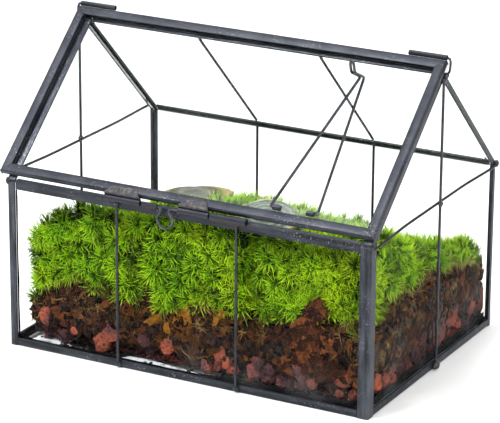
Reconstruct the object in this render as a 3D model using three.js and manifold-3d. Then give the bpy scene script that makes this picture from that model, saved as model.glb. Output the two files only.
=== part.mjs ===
// A plant terrarium built like a small glasshouse: clear panes in dark metal angle strip, a hinged front roof,
// and inside it lava stones, peat with bark, cushions of needle moss and three bracket fungi.
// Millimetres, +Z up, front towards -Y.
import * as THREE from "three";
import { mergeVertices } from "three/addons/utils/BufferGeometryUtils.js";
import Module from "manifold-3d";

const wasm = await Module();
wasm.setup();

// ---- Driving dimensions -------------------------------------------------------------------------------

// The case, over the outside of its metal. The roof's ridge lies a little behind the middle.
const CASE_WIDTH = 260;
const CASE_DEPTH = 186;
const EAVE_Z = 114;
const RIDGE_Z = 198.8;
const RIDGE_Y = 4.8;
// The latch stands out in front and the left hinge wire at the side, so the case is moved this far back and
// to the right to centre the whole on the origin.
const CASE_SHIFT = 1.5;

// Sheet metal and glass. SEAT is the gap between two pieces that rest on each other.
const STRIP = 1.5;
const GLASS = 2;
const SEAT = 0.3;
const POST_LEG = { front_left: 5.2, front_right: 7.5, back_left: 4.2, back_right: 4.2 };
const CORNER_ROUND = 1.4;
const BASE_RAIL_HEIGHT = 5;
const BASE_RAIL_FLANGE = 4;
const EAVE_RAIL_HEIGHT = 6.2;
const EAVE_RAIL_LIP = 3.8;
const BACK_RAIL_LEG = 2.9;
const RIDGE_FRONT_LEG = 3;
const RIDGE_BACK_LEG = 3.4;
const RAFTER_LEG = { front: 6, back: 3.6 };
const RAFTER_DROP = { front: 5.5, back: 4 };
const ROOF_PANE_EDGE = { eave: 1.9, ridge: 2 };

// Glazing bars: round wires soldered outside the panes.
const WIRE_R = 0.9;
const BAR_LAP = { foot: 3, eave: 1.4, ridge: 1.8 };
const FRONT_BARS_X = [-47.6, 38.2];
const BACK_BARS_X = [-48, 40.4];
const UPRIGHT_Y = { left: -1, right: 3.1 };
const CROSS_WIRE_Z = { left: [116.6, 114.8], right: [111.2, 112.8] };
const CROSS_WIRE_END = { left: 6, right: 2 };
const BOW_HALF_LENGTH = 45;
const SOLDER_BALL_R = 2.2;

// The lid: a pane in a folded channel, resting on the front rafters.
const LID_HALF_WIDTH = 133.5;
const LID_SHIFT_X = -1.5;
const LID_START = 2.5;
const LID_END = 134.5;
const LID_GAP = 0.5;
const CHANNEL_FACE = 6.5;
const CHANNEL_DEPTH = 4.5;
const CHANNEL_WALL = 1;
const CHANNEL_WEB = 1.4;

// Hinges: a wire in a tube at each end of the lid's top edge.
const HINGE_TUBE_R = 1.7;
const HINGE_TUBE_BORE_R = 1.2;
const HINGE_TUBE_SPAN = [106.6, 132.6];
const HINGE_AXIS_BEYOND_LID = 2;
const HINGE_AXIS_UP = 3.5;
const HINGE_WIRE_OUT = 135.1;

// Latch: tubes in one line along the front, and a sliding pin bent into a pull loop.
const LATCH_Y = -95.7;
const LATCH_Z = 115;
const CASE_TUBE_SMALL = { span: [-28, -17], r: 1.6 };
const CASE_TUBE_LARGE = { span: [21, 46], r: 2.4 };
const LID_TUBE_LEFT = [-55.5, -29.5];
const LID_TUBE_RIGHT = [-2, 19.6];
const LID_TUBE_R = 1.9;
const LATCH_BORE_R = 1.2;
const TAB_TOP_SHARE = 0.66;
const LOOP_X = -11.8;
const LOOP_NECK = 3;
const LOOP_HALF_WIDTH = 6;
const LOOP_DROP = 13.6;

// Prop: a wire bent double into a V, with a hook where its two legs meet.
const PROP_WIRE_R = 0.95;
const PROP_FEET_X = [58.5, 91];
const PROP_APEX_X = 82;
const PROP_LENGTH = 101.9;
const PROP_SPREAD = 1.25;
const PROP_HOOK_BACK = 6.1;
const PROP_HOOK_OUT = 18.2;
const PROP_TIP_BACK = 3.1;
const PROP_TIP_OUT = 24.5;
const PROP_SLEEVE_R = 1.7;
const PROP_SLEEVE_LENGTH = 5;

// The planting.
const STONE_BED_TOP = 9;
const STONE_LINE = 19;
const STONE_STRIP = { side: 3.6, backMargin: 12, front: 3.2, step: 9 };
const SOIL_LEFT = -117;
const NEEDLE_LENGTH = [6.5, 9.5];
const NEEDLE_R = 0.85;
const NEEDLES_PER_CUSHION = 100;
const NEEDLES_PER_TUFT = 3;
const CUSHION_GAP = 0.6;

// ---- Derived places -----------------------------------------------------------------------------------

const HALF_WIDTH = CASE_WIDTH / 2;
const FRONT_Y = -CASE_DEPTH / 2;
const BACK_Y = CASE_DEPTH / 2;
const FRONT_SLOPE = Math.atan2(RIDGE_Z - EAVE_Z, RIDGE_Y - FRONT_Y);
const BACK_SLOPE = Math.atan2(RIDGE_Z - EAVE_Z, BACK_Y - RIDGE_Y);
const PANE_INSET = STRIP + SEAT;
const PANE_BOTTOM = PANE_INSET + GLASS + SEAT;
const INNER_X = HALF_WIDTH - PANE_INSET - GLASS;
const INNER_Y = BACK_Y - PANE_INSET - GLASS;

const X = new THREE.Vector3(1, 0, 0);
const Y = new THREE.Vector3(0, 1, 0);
const Z = new THREE.Vector3(0, 0, 1);
const UP_FRONT = new THREE.Vector3(0, Math.cos(FRONT_SLOPE), Math.sin(FRONT_SLOPE));
const UP_BACK = new THREE.Vector3(0, -Math.cos(BACK_SLOPE), Math.sin(BACK_SLOPE));
const FRONT_NORMAL = new THREE.Vector3(0, -Math.sin(FRONT_SLOPE), Math.cos(FRONT_SLOPE));
const BACK_NORMAL = new THREE.Vector3(0, Math.sin(BACK_SLOPE), Math.cos(BACK_SLOPE));

const metal = new THREE.MeshStandardMaterial({ color: 0x3d434d, roughness: 0.45, metalness: 0.8 });
const steel = new THREE.MeshStandardMaterial({ color: 0x5d6066, roughness: 0.35, metalness: 0.9 });
const glass = new THREE.MeshStandardMaterial({
  color: 0xeef6f3,
  roughness: 0.05,
  metalness: 0,
  transparent: true,
  opacity: 0.2,
});
const lava = new THREE.MeshStandardMaterial({ color: 0x8f4030, roughness: 0.95, metalness: 0 });
const peat = new THREE.MeshStandardMaterial({ color: 0x33221a, roughness: 1, metalness: 0 });
const barkSkin = new THREE.MeshStandardMaterial({ color: 0x6f3a1c, roughness: 0.9, metalness: 0 });
const mossGreen = new THREE.MeshStandardMaterial({ color: 0x57a01b, roughness: 0.9, metalness: 0 });
const fungusGrey = new THREE.MeshStandardMaterial({ color: 0x9a9683, roughness: 0.8, metalness: 0 });

// ---- Solids -------------------------------------------------------------------------------------------

// A closed geometry, moved by a matrix, as a solid that can be joined and cut.
function solid(geometry, matrix = new THREE.Matrix4()) {
  const bare = geometry.clone().applyMatrix4(matrix);
  bare.deleteAttribute("normal");
  bare.deleteAttribute("uv");
  const merged = mergeVertices(bare, 1e-4);
  return new wasm.Manifold(
    new wasm.Mesh({
      numProp: 3,
      vertProperties: merged.attributes.position.array,
      triVerts: new Uint32Array(merged.index.array),
    }),
  );
}

function joined(solids) {
  return solids.reduce((whole, next) => whole.add(next));
}

// The biggest body of a solid that a cut has left in several.
function largest(body) {
  return body.decompose().sort((a, b) => b.volume() - a.volume())[0];
}

function addPiece(group, name, body, material) {
  const { vertProperties, triVerts } = body.getMesh();
  const geometry = new THREE.BufferGeometry();
  geometry.setAttribute("position", new THREE.BufferAttribute(new Float32Array(vertProperties), 3));
  geometry.setIndex(new THREE.BufferAttribute(new Uint32Array(triVerts), 1));
  geometry.computeVertexNormals();
  const mesh = new THREE.Mesh(geometry, material.clone());
  mesh.name = name;
  group.add(mesh);
}

function vec(x, y, z) {
  return new THREE.Vector3(x, y, z);
}

function outline(points) {
  return new THREE.Shape(points.map(([x, y]) => new THREE.Vector2(x, y)));
}

// A straight bar from one point to another. The section's x lies along side, and its y along bar x side.
function bar(section, from, to, side) {
  const along = to.clone().sub(from);
  const w = along.clone().normalize();
  const v = w.clone().cross(side);
  const place = new THREE.Matrix4().makeBasis(side, v, w).setPosition(from);
  const depth = along.length();
  return solid(new THREE.ExtrudeGeometry(section, { depth, bevelEnabled: false, curveSegments: 3 }), place);
}

function box(low, high) {
  const size = high.clone().sub(low);
  const middle = low.clone().add(high).multiplyScalar(0.5);
  const place = new THREE.Matrix4().setPosition(middle);
  return solid(new THREE.BoxGeometry(size.x, size.y, size.z), place);
}

// Everything on the far side of a plane, for cutting.
function beyond(point, normal) {
  const reach = 400;
  const n = normal.clone().normalize();
  const turn = new THREE.Quaternion().setFromUnitVectors(Z, n);
  const place = new THREE.Matrix4().makeRotationFromQuaternion(turn);
  place.setPosition(point.clone().addScaledVector(n, reach / 2));
  return solid(new THREE.BoxGeometry(reach, reach, reach), place);
}

function ball(centre, radius, flat = 1) {
  const place = new THREE.Matrix4().makeScale(1, flat, 1).setPosition(centre);
  return solid(new THREE.SphereGeometry(radius, 8, 6), place);
}

// A drop of solder on a gable, with the side towards the gable flat.
function gableSolder(centre, sx) {
  const face = vec(sx * (HALF_WIDTH + SEAT), 0, 0);
  return ball(centre, SOLDER_BALL_R).subtract(beyond(face, vec(-sx, 0, 0)));
}

function roundSection(radius, boreRadius = 0) {
  const section = new THREE.Shape().absarc(0, 0, radius, 0, 2 * Math.PI, false);
  if (boreRadius) {
    section.holes.push(new THREE.Path().absarc(0, 0, boreRadius, 0, 2 * Math.PI, true));
  }
  return section;
}

// A wire or tube along the X axis at one y and z.
function tubeAlongX(y, z, [from, to], radius, boreRadius = 0, sides = 5) {
  const geometry = new THREE.ExtrudeGeometry(roundSection(radius, boreRadius), {
    depth: to - from,
    bevelEnabled: false,
    curveSegments: sides,
  });
  const place = new THREE.Matrix4().makeBasis(Y, Z, X).setPosition(vec(from, y, z));
  return solid(geometry, place);
}

// A path through a list of points, one step for each stretch between them.
class WirePath extends THREE.Curve {
  constructor(points) {
    super();
    this.points = points;
  }

  getPoint(t) {
    const last = this.points.length - 1;
    const step = Math.min(Math.floor(t * last + 1e-6), last - 1);
    return this.points[step].clone().lerp(this.points[step + 1], t * last - step);
  }

  getPointAt(u) {
    return this.getPoint(u);
  }

  getSpacedPoints(count) {
    return this.getPoints(count);
  }

  getTangentAt(u) {
    const last = this.points.length - 1;
    const i = Math.round(u * last);
    const before = this.points[i].clone().sub(this.points[Math.max(i - 1, 0)]).normalize();
    const after = this.points[Math.min(i + 1, last)].clone().sub(this.points[i]).normalize();
    return before.add(after).normalize();
  }
}

// The same corners with each one rounded off over a length of about the bend.
function withBends(corners, bend) {
  const points = [corners[0]];
  for (let i = 1; i < corners.length - 1; i++) {
    const [a, b, c] = [corners[i - 1], corners[i], corners[i + 1]];
    const from = b.clone().lerp(a, Math.min(0.45, bend / b.distanceTo(a)));
    const to = b.clone().lerp(c, Math.min(0.45, bend / b.distanceTo(c)));
    points.push(...new THREE.QuadraticBezierCurve3(from, b, to).getPoints(2));
  }
  points.push(corners[corners.length - 1]);
  return points;
}

// A wire through a list of corners.
function wire(corners, radius, bend = 2) {
  const points = withBends(corners, bend);
  const options = {
    steps: points.length - 1,
    bevelEnabled: false,
    extrudePath: new WirePath(points),
    curveSegments: 3,
  };
  return solid(new THREE.ExtrudeGeometry(roundSection(radius), options));
}

function straightWire(from, to, radius = WIRE_R) {
  return wire([from, to], radius);
}

// Angle strip with a rounded outer corner at the origin and legs along +x and +y.
function angleSection(legX, legY, round = CORNER_ROUND) {
  const section = new THREE.Shape();
  section.moveTo(round, 0);
  section.lineTo(legX, 0);
  section.lineTo(legX, STRIP);
  section.lineTo(STRIP, STRIP);
  section.lineTo(STRIP, legY);
  section.lineTo(0, legY);
  section.lineTo(0, round);
  section.absarc(round, round, round, Math.PI, 1.5 * Math.PI, false);
  return section;
}

// Strip folded along the X axis: its outer faces run from the fold along two directions in the YZ plane.
function foldedSection(towardsA, legA, towardsB, legB) {
  const a = new THREE.Vector2(towardsA.y, towardsA.z);
  const b = new THREE.Vector2(towardsB.y, towardsB.z);
  const middle = a.clone().add(b).normalize();
  const halfAngle = Math.acos(THREE.MathUtils.clamp(a.dot(middle), -1, 1));
  const inner = middle.clone().multiplyScalar(STRIP / Math.sin(halfAngle));
  const inwards = (line) =>
    middle.clone().addScaledVector(line, -middle.dot(line)).normalize().multiplyScalar(STRIP);
  const endA = a.clone().multiplyScalar(legA);
  const endB = b.clone().multiplyScalar(legB);
  return new THREE.Shape([
    new THREE.Vector2(0, 0),
    endA,
    endA.clone().add(inwards(a)),
    inner,
    endB.clone().add(inwards(b)),
    endB,
  ]);
}

// ---- The case -----------------------------------------------------------------------------------------

const root = new THREE.Group();
const terrarium = new THREE.Group();
terrarium.position.set(CASE_SHIFT, CASE_SHIFT, 0);
root.add(terrarium);

// The roof's outer face below which a piece stays, as the space outside it.
function outsideRoof(depth) {
  const front = beyond(vec(0, FRONT_Y, EAVE_Z).addScaledVector(FRONT_NORMAL, -depth), FRONT_NORMAL);
  const back = beyond(vec(0, BACK_Y, EAVE_Z).addScaledVector(BACK_NORMAL, -depth), BACK_NORMAL);
  return front.add(back);
}

function addPosts(group) {
  const corners = [
    ["front_left", -1, -1, X],
    ["front_right", 1, -1, Y],
    ["back_right", 1, 1, X.clone().negate()],
    ["back_left", -1, 1, Y.clone().negate()],
  ];
  const above = outsideRoof(STRIP + SEAT);
  for (const [corner, sx, sy, side] of corners) {
    const leg = POST_LEG[corner];
    const foot = vec(sx * HALF_WIDTH, sy * BACK_Y, 0);
    const head = foot.clone().setZ(EAVE_Z + leg);
    const post = bar(angleSection(leg, leg), foot, head, side).subtract(above);
    addPiece(group, "post_" + corner, post, metal);
  }
}

function addBaseRails(group) {
  const section = angleSection(BASE_RAIL_FLANGE, BASE_RAIL_HEIGHT);
  const corner = {
    front_left: vec(-HALF_WIDTH, FRONT_Y, 0),
    front_right: vec(HALF_WIDTH, FRONT_Y, 0),
    back_right: vec(HALF_WIDTH, BACK_Y, 0),
    back_left: vec(-HALF_WIDTH, BACK_Y, 0),
  };
  const rails = [
    ["front", "front_left", "front_right", Y],
    ["right", "front_right", "back_right", X.clone().negate()],
    ["back", "back_right", "back_left", Y.clone().negate()],
    ["left", "back_left", "front_left", X],
  ];
  for (const [place, start, end, side] of rails) {
    const along = corner[end].clone().sub(corner[start]).normalize();
    const from = corner[start].clone().addScaledVector(along, POST_LEG[start] + SEAT);
    const to = corner[end].clone().addScaledVector(along, -POST_LEG[end] - SEAT);
    addPiece(group, "base_rail_" + place, bar(section, from, to, side), metal);
  }
}

// The space that a post and its rafter's foot share, grown by the seat gap, which the rafter leaves free.
function postRoom(sx, sy, leg) {
  const reach = leg + SEAT;
  const low = vec(sx < 0 ? -HALF_WIDTH - 1 : HALF_WIDTH - reach, sy < 0 ? FRONT_Y - 1 : BACK_Y - reach, 0);
  const high = vec(sx < 0 ? -HALF_WIDTH + reach : HALF_WIDTH + 1, sy < 0 ? FRONT_Y + reach : BACK_Y + 1, RIDGE_Z);
  return box(low, high).subtract(outsideRoof(STRIP));
}

function addRafters(group) {
  const apexCut = SEAT / 2;
  for (const [hand, sx] of [["left", -1], ["right", 1]]) {
    for (const [place, sy] of [["front", -1], ["back", 1]]) {
      const up = sy < 0 ? UP_FRONT : UP_BACK;
      const section = angleSection(RAFTER_LEG[place], RAFTER_DROP[place], 0.6);
      const spare = RAFTER_DROP[place] * 2;
      const eave = vec(sx * HALF_WIDTH, sy * BACK_Y, EAVE_Z).addScaledVector(up, -spare);
      const ridge = vec(sx * HALF_WIDTH, RIDGE_Y, RIDGE_Z).addScaledVector(up, spare);
      const inwards = vec(-sx, 0, 0);
      const [from, to] = sx * sy > 0 ? [eave, ridge] : [ridge, eave];
      const rafter = bar(section, from, to, inwards)
        .subtract(beyond(vec(0, sy * BACK_Y, 0), vec(0, sy, 0)))
        .subtract(beyond(vec(0, RIDGE_Y + sy * apexCut, 0), vec(0, -sy, 0)))
        .subtract(postRoom(sx, sy, POST_LEG[place + "_" + hand]));
      addPiece(group, "rafter_" + place + "_" + hand, largest(rafter), metal);
    }
  }
}

function addEaveAndRidgeRails(group) {
  const front = bar(
    angleSection(EAVE_RAIL_LIP, EAVE_RAIL_HEIGHT, 0.8),
    vec(HALF_WIDTH - POST_LEG.front_right - SEAT, FRONT_Y, EAVE_Z),
    vec(-HALF_WIDTH + Math.max(POST_LEG.front_left, RAFTER_LEG.front) + SEAT, FRONT_Y, EAVE_Z),
    Y,
  );
  addPiece(group, "eave_rail_front", front, metal);

  const endX = HALF_WIDTH - POST_LEG.back_left - SEAT;
  const down = Z.clone().negate();
  const back = bar(
    foldedSection(down, BACK_RAIL_LEG, UP_BACK, BACK_RAIL_LEG),
    vec(-endX, BACK_Y, EAVE_Z),
    vec(endX, BACK_Y, EAVE_Z),
    Y,
  );
  addPiece(group, "eave_rail_back", back, metal);

  const downFront = UP_FRONT.clone().negate();
  const downBack = UP_BACK.clone().negate();
  const ridgeEnd = HALF_WIDTH - RAFTER_LEG.front - SEAT;
  const ridge = bar(
    foldedSection(downFront, RIDGE_FRONT_LEG, downBack, RIDGE_BACK_LEG),
    vec(-ridgeEnd, RIDGE_Y, RIDGE_Z),
    vec(ridgeEnd, RIDGE_Y, RIDGE_Z),
    Y,
  );
  addPiece(group, "ridge_rail", ridge, metal);
}

function addCasePanes(group) {
  const outerX = HALF_WIDTH - PANE_INSET;
  const outerY = BACK_Y - PANE_INSET;
  const innerY = INNER_Y - SEAT;
  addPiece(group, "pane_base", box(vec(-outerX, -outerY, PANE_INSET), vec(outerX, outerY, PANE_INSET + GLASS)), glass);

  const top = EAVE_Z - PANE_INSET;
  const front = box(vec(-outerX, -outerY, PANE_BOTTOM), vec(outerX, -INNER_Y, top));
  const back = box(vec(-outerX, INNER_Y, PANE_BOTTOM), vec(outerX, outerY, top));
  addPiece(group, "pane_front", front, glass);
  addPiece(group, "pane_back", back, glass);

  // The back roof pane hangs under its rafters, from just below the ridge to just above the eave.
  const roofTop = vec(-outerX, RIDGE_Y, RIDGE_Z).addScaledVector(UP_BACK, -ROOF_PANE_EDGE.ridge);
  const roofSpan = vec(0, BACK_Y - RIDGE_Y, RIDGE_Z - EAVE_Z).length();
  const roofLength = roofSpan - ROOF_PANE_EDGE.ridge - ROOF_PANE_EDGE.eave;
  const roofEnd = roofTop.clone().addScaledVector(UP_BACK, -roofLength);
  const sheet = outline([
    [0, -PANE_INSET - GLASS],
    [2 * outerX, -PANE_INSET - GLASS],
    [2 * outerX, -PANE_INSET],
    [0, -PANE_INSET],
  ]);
  addPiece(group, "pane_roof_back", bar(sheet, roofEnd, roofTop, X), glass);

  // Each gable pane is a house-shaped sheet between the front and back panes.
  const inFront = outsideRoof(PANE_INSET);
  const underRoofPane = beyond(
    vec(0, BACK_Y, EAVE_Z).addScaledVector(BACK_NORMAL, -PANE_INSET - GLASS - SEAT),
    BACK_NORMAL,
  );
  for (const [hand, sx] of [["left", -1], ["right", 1]]) {
    const a = sx * outerX;
    const b = sx * INNER_X;
    const sheetBox = box(
      vec(Math.min(a, b), -innerY, PANE_BOTTOM),
      vec(Math.max(a, b), innerY, RIDGE_Z),
    );
    addPiece(group, "pane_gable_" + hand, sheetBox.subtract(inFront).subtract(underRoofPane), glass);
  }
}

// Glazing bars: wires outside the panes, lapped and soldered onto the rails at both ends.
function addGlazingBars(group) {
  const stand = WIRE_R + SEAT;
  FRONT_BARS_X.forEach((x, i) => {
    const y = FRONT_Y - stand;
    const foot = vec(x, y, BAR_LAP.foot);
    const body = straightWire(foot, vec(x, y, EAVE_Z - BAR_LAP.foot)).add(ball(foot, SOLDER_BALL_R, 0.5));
    addPiece(group, "front_bar_" + ["left", "right"][i], body, metal);
  });
  BACK_BARS_X.forEach((x, i) => {
    const y = BACK_Y + stand;
    const hand = ["left", "right"][i];
    const upright = straightWire(vec(x, y, BAR_LAP.foot), vec(x, y, EAVE_Z - BAR_LAP.eave));
    addPiece(group, "back_bar_" + hand, upright, metal);
    const from = vec(x, BACK_Y, EAVE_Z).addScaledVector(BACK_NORMAL, stand).addScaledVector(UP_BACK, BAR_LAP.eave);
    const to = vec(x, RIDGE_Y, RIDGE_Z).addScaledVector(BACK_NORMAL, stand).addScaledVector(UP_BACK, -BAR_LAP.ridge);
    addPiece(group, "roof_bar_" + hand, straightWire(from, to), metal);
  });
}

// On each gable an upright stands outside, and a cross wire bows in behind it to lie on the glass.
function addGableWires(group) {
  const stand = WIRE_R + SEAT;
  for (const [hand, sx] of [["left", -1], ["right", 1]]) {
    const x = sx * (HALF_WIDTH + stand);
    const foot = vec(x, UPRIGHT_Y[hand], 2.4);
    const topZ = RIDGE_Z - RAFTER_DROP.front - 1;
    const upright = straightWire(foot, vec(x, UPRIGHT_Y[hand], topZ)).add(gableSolder(foot, sx));
    addPiece(group, "gable_upright_" + hand, upright, metal);

    const endX = sx * (HALF_WIDTH + WIRE_R + SEAT);
    const middleX = sx * (HALF_WIDTH - PANE_INSET + WIRE_R + SEAT / 2);
    const clearOfPosts = POST_LEG.front_right + 4;
    const [frontZ, backZ] = CROSS_WIRE_Z[hand];
    const at = (wireX, y) => vec(wireX, y, THREE.MathUtils.mapLinear(y, FRONT_Y, BACK_Y, frontZ, backZ));
    const corners = [
      at(endX, FRONT_Y + CROSS_WIRE_END[hand]),
      at(endX, FRONT_Y + clearOfPosts),
      at(middleX, -BOW_HALF_LENGTH),
      at(middleX, BOW_HALF_LENGTH),
      at(endX, BACK_Y - clearOfPosts),
      at(endX, BACK_Y - CROSS_WIRE_END[hand]),
    ];
    addPiece(group, "gable_cross_" + hand, wire(corners, WIRE_R, 8), metal);
  }
}

// ---- The lid ------------------------------------------------------------------------------------------

// The lid's own frame: x across, y up the slope from the front eave, z out of the roof, from its underside.
const lid = new THREE.Group();
lid.position.copy(vec(LID_SHIFT_X, FRONT_Y, EAVE_Z).addScaledVector(FRONT_NORMAL, LID_GAP));
lid.rotation.x = FRONT_SLOPE;
terrarium.add(lid);

const HINGE_S = LID_END + HINGE_AXIS_BEYOND_LID;
const HINGE_Y = FRONT_Y + HINGE_S * Math.cos(FRONT_SLOPE) - (HINGE_AXIS_UP + LID_GAP) * Math.sin(FRONT_SLOPE);
const HINGE_Z = EAVE_Z + HINGE_S * Math.sin(FRONT_SLOPE) + (HINGE_AXIS_UP + LID_GAP) * Math.cos(FRONT_SLOPE);

function channelSection() {
  const round = 0.9;
  const inner = CHANNEL_DEPTH - CHANNEL_WALL;
  return outline([
    [round, 0],
    [CHANNEL_FACE, 0],
    [CHANNEL_FACE, CHANNEL_WALL],
    [CHANNEL_WEB, CHANNEL_WALL],
    [CHANNEL_WEB, inner],
    [CHANNEL_FACE, inner],
    [CHANNEL_FACE, CHANNEL_DEPTH],
    [round, CHANNEL_DEPTH],
    [0, CHANNEL_DEPTH - round],
    [0, round],
  ]);
}

function addLidFrame(group) {
  const corners = [
    vec(-LID_HALF_WIDTH, LID_START, 0),
    vec(LID_HALF_WIDTH, LID_START, 0),
    vec(LID_HALF_WIDTH, LID_END, 0),
    vec(-LID_HALF_WIDTH, LID_END, 0),
  ];
  const names = ["lid_rail_bottom", "lid_stile_right", "lid_rail_top", "lid_stile_left"];
  names.forEach((name, i) => {
    const from = corners[i];
    const to = corners[(i + 1) % corners.length];
    const along = to.clone().sub(from).normalize();
    const inwards = Z.clone().cross(along);
    const mitreA = inwards.clone().sub(along).normalize();
    const mitreB = inwards.clone().add(along).normalize();
    const half = SEAT / 2;
    const rail = bar(channelSection(), from, to, inwards)
      .subtract(beyond(from.clone().addScaledVector(mitreA, -half), mitreA))
      .subtract(beyond(to.clone().addScaledVector(mitreB, -half), mitreB));
    addPiece(group, name, rail, metal);
  });

  const edge = CHANNEL_WEB + SEAT;
  const under = (CHANNEL_DEPTH - GLASS) / 2;
  const low = vec(-LID_HALF_WIDTH + edge, LID_START + edge, under);
  const high = vec(LID_HALF_WIDTH - edge, LID_END - edge, under + GLASS);
  addPiece(group, "lid_pane", box(low, high), glass);
}

function addHinges(lidGroup, caseGroup) {
  for (const [hand, sx] of [["left", -1], ["right", 1]]) {
    const span = HINGE_TUBE_SPAN.map((x) => sx * x).sort((a, b) => a - b);
    const tube = tubeAlongX(HINGE_S, HINGE_AXIS_UP, span, HINGE_TUBE_R, HINGE_TUBE_BORE_R);
    addPiece(lidGroup, "hinge_tube_" + hand, tube, metal);

    // The wire lies in the tube, comes out of its end, drops past the lid's corner and is soldered to the gable.
    const outX = LID_SHIFT_X + sx * HINGE_WIRE_OUT;
    const innerX = LID_SHIFT_X + sx * (HINGE_TUBE_SPAN[0] + 2);
    const gableX = sx * (HALF_WIDTH + WIRE_R + SEAT);
    const solderZ = RIDGE_Z - 3.4;
    const corners = [
      vec(innerX, HINGE_Y, HINGE_Z),
      vec(outX, HINGE_Y, HINGE_Z),
      vec(outX, HINGE_Y - 1, solderZ + 2.4),
      vec(gableX, HINGE_Y - 1.6, solderZ),
    ];
    const solder = gableSolder(vec(gableX, HINGE_Y - 1.6, solderZ), sx);
    addPiece(caseGroup, "hinge_wire_" + hand, wire(corners, WIRE_R, 2.4).add(solder), steel);
  }
}

// ---- The latch ----------------------------------------------------------------------------------------

// The latch line in the lid's frame.
const LATCH_S = (LATCH_Y - FRONT_Y) * Math.cos(FRONT_SLOPE) + (LATCH_Z - EAVE_Z) * Math.sin(FRONT_SLOPE);
const LATCH_N =
  (LATCH_Z - EAVE_Z) * Math.cos(FRONT_SLOPE) - (LATCH_Y - FRONT_Y) * Math.sin(FRONT_SLOPE) - LID_GAP;

function addLatchTubes(lidGroup, caseGroup) {
  // Each lid tube hangs on a tab that laps over the channel's edge and narrows towards the glass.
  const tabFoot = LATCH_S + LID_TUBE_R - 0.5;
  const tabWall = LID_START - SEAT;
  const tabTop = CHANNEL_DEPTH + SEAT;
  const tabSection = outline([
    [tabFoot, LATCH_N - LID_TUBE_R * 0.6],
    [tabWall, LATCH_N - LID_TUBE_R * 0.6],
    [tabWall, tabTop],
    [LID_START + CHANNEL_FACE * 0.55, tabTop],
    [LID_START + CHANNEL_FACE * 0.55, tabTop + 0.8],
    [tabFoot + 0.6, tabTop + 0.8],
    [tabFoot, tabTop],
  ]);
  for (const [name, [from, to]] of [["lid_latch_tube_left", LID_TUBE_LEFT], ["lid_latch_tube_right", LID_TUBE_RIGHT]]) {
    const left = from - LID_SHIFT_X;
    const right = to - LID_SHIFT_X;
    const taper = ((right - left) * (1 - TAB_TOP_SHARE)) / 2;
    const rise = LID_START + CHANNEL_FACE * 0.55 - tabFoot;
    const lean = Math.atan2(taper, rise);
    const tab = bar(tabSection, vec(left, 0, 0), vec(right, 0, 0), Y)
      .subtract(beyond(vec(left, tabFoot, 0), vec(-Math.cos(lean), Math.sin(lean), 0)))
      .subtract(beyond(vec(right, tabFoot, 0), vec(Math.cos(lean), Math.sin(lean), 0)));
    const bore = tubeAlongX(LATCH_S, LATCH_N, [left - 1, right + 1], LATCH_BORE_R);
    const tube = tubeAlongX(LATCH_S, LATCH_N, [left, right], LID_TUBE_R);
    addPiece(lidGroup, name, tab.add(tube).subtract(bore), metal);
  }

  for (const [name, { span, r }] of [["case_latch_tube_small", CASE_TUBE_SMALL], ["case_latch_tube_large", CASE_TUBE_LARGE]]) {
    const bore = tubeAlongX(LATCH_Y, LATCH_Z, [span[0] - 1, span[1] + 1], Math.max(LATCH_BORE_R, r - 0.8));
    const tube = tubeAlongX(LATCH_Y, LATCH_Z, span, r);
    const solder = box(
      vec(span[0] + 2, LATCH_Y, LATCH_Z - r - 0.8),
      vec(span[1] - 2, FRONT_Y - SEAT, LATCH_Z - r * 0.45),
    );
    addPiece(caseGroup, name, tube.add(solder).subtract(bore), metal);
  }
}

// The pin: two arms on the latch line, and between them the wire runs down and round as a pull loop.
function addLatchPin(group) {
  const leftTip = CASE_TUBE_SMALL.span[0] + 1;
  const rightTip = LID_TUBE_RIGHT[0] - SEAT;
  const at = (x, drop) => vec(x, LATCH_Y, LATCH_Z - drop);
  const corners = [
    at(leftTip, 0),
    at(LOOP_X - LOOP_NECK, 0),
    at(LOOP_X - LOOP_NECK, 3.6),
    at(LOOP_X - LOOP_HALF_WIDTH, 7),
    at(LOOP_X - 0.8 * LOOP_HALF_WIDTH, 11.6),
    at(LOOP_X, LOOP_DROP + 0.4),
    at(LOOP_X + 0.8 * LOOP_HALF_WIDTH, 11.6),
    at(LOOP_X + LOOP_HALF_WIDTH, 7),
    at(LOOP_X + LOOP_NECK, 3.6),
    at(LOOP_X + LOOP_NECK, 0),
    at(rightTip, 0),
  ];
  addPiece(group, "latch_pin", wire(corners, WIRE_R, 1.8), steel);
}

// ---- The prop -----------------------------------------------------------------------------------------

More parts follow.
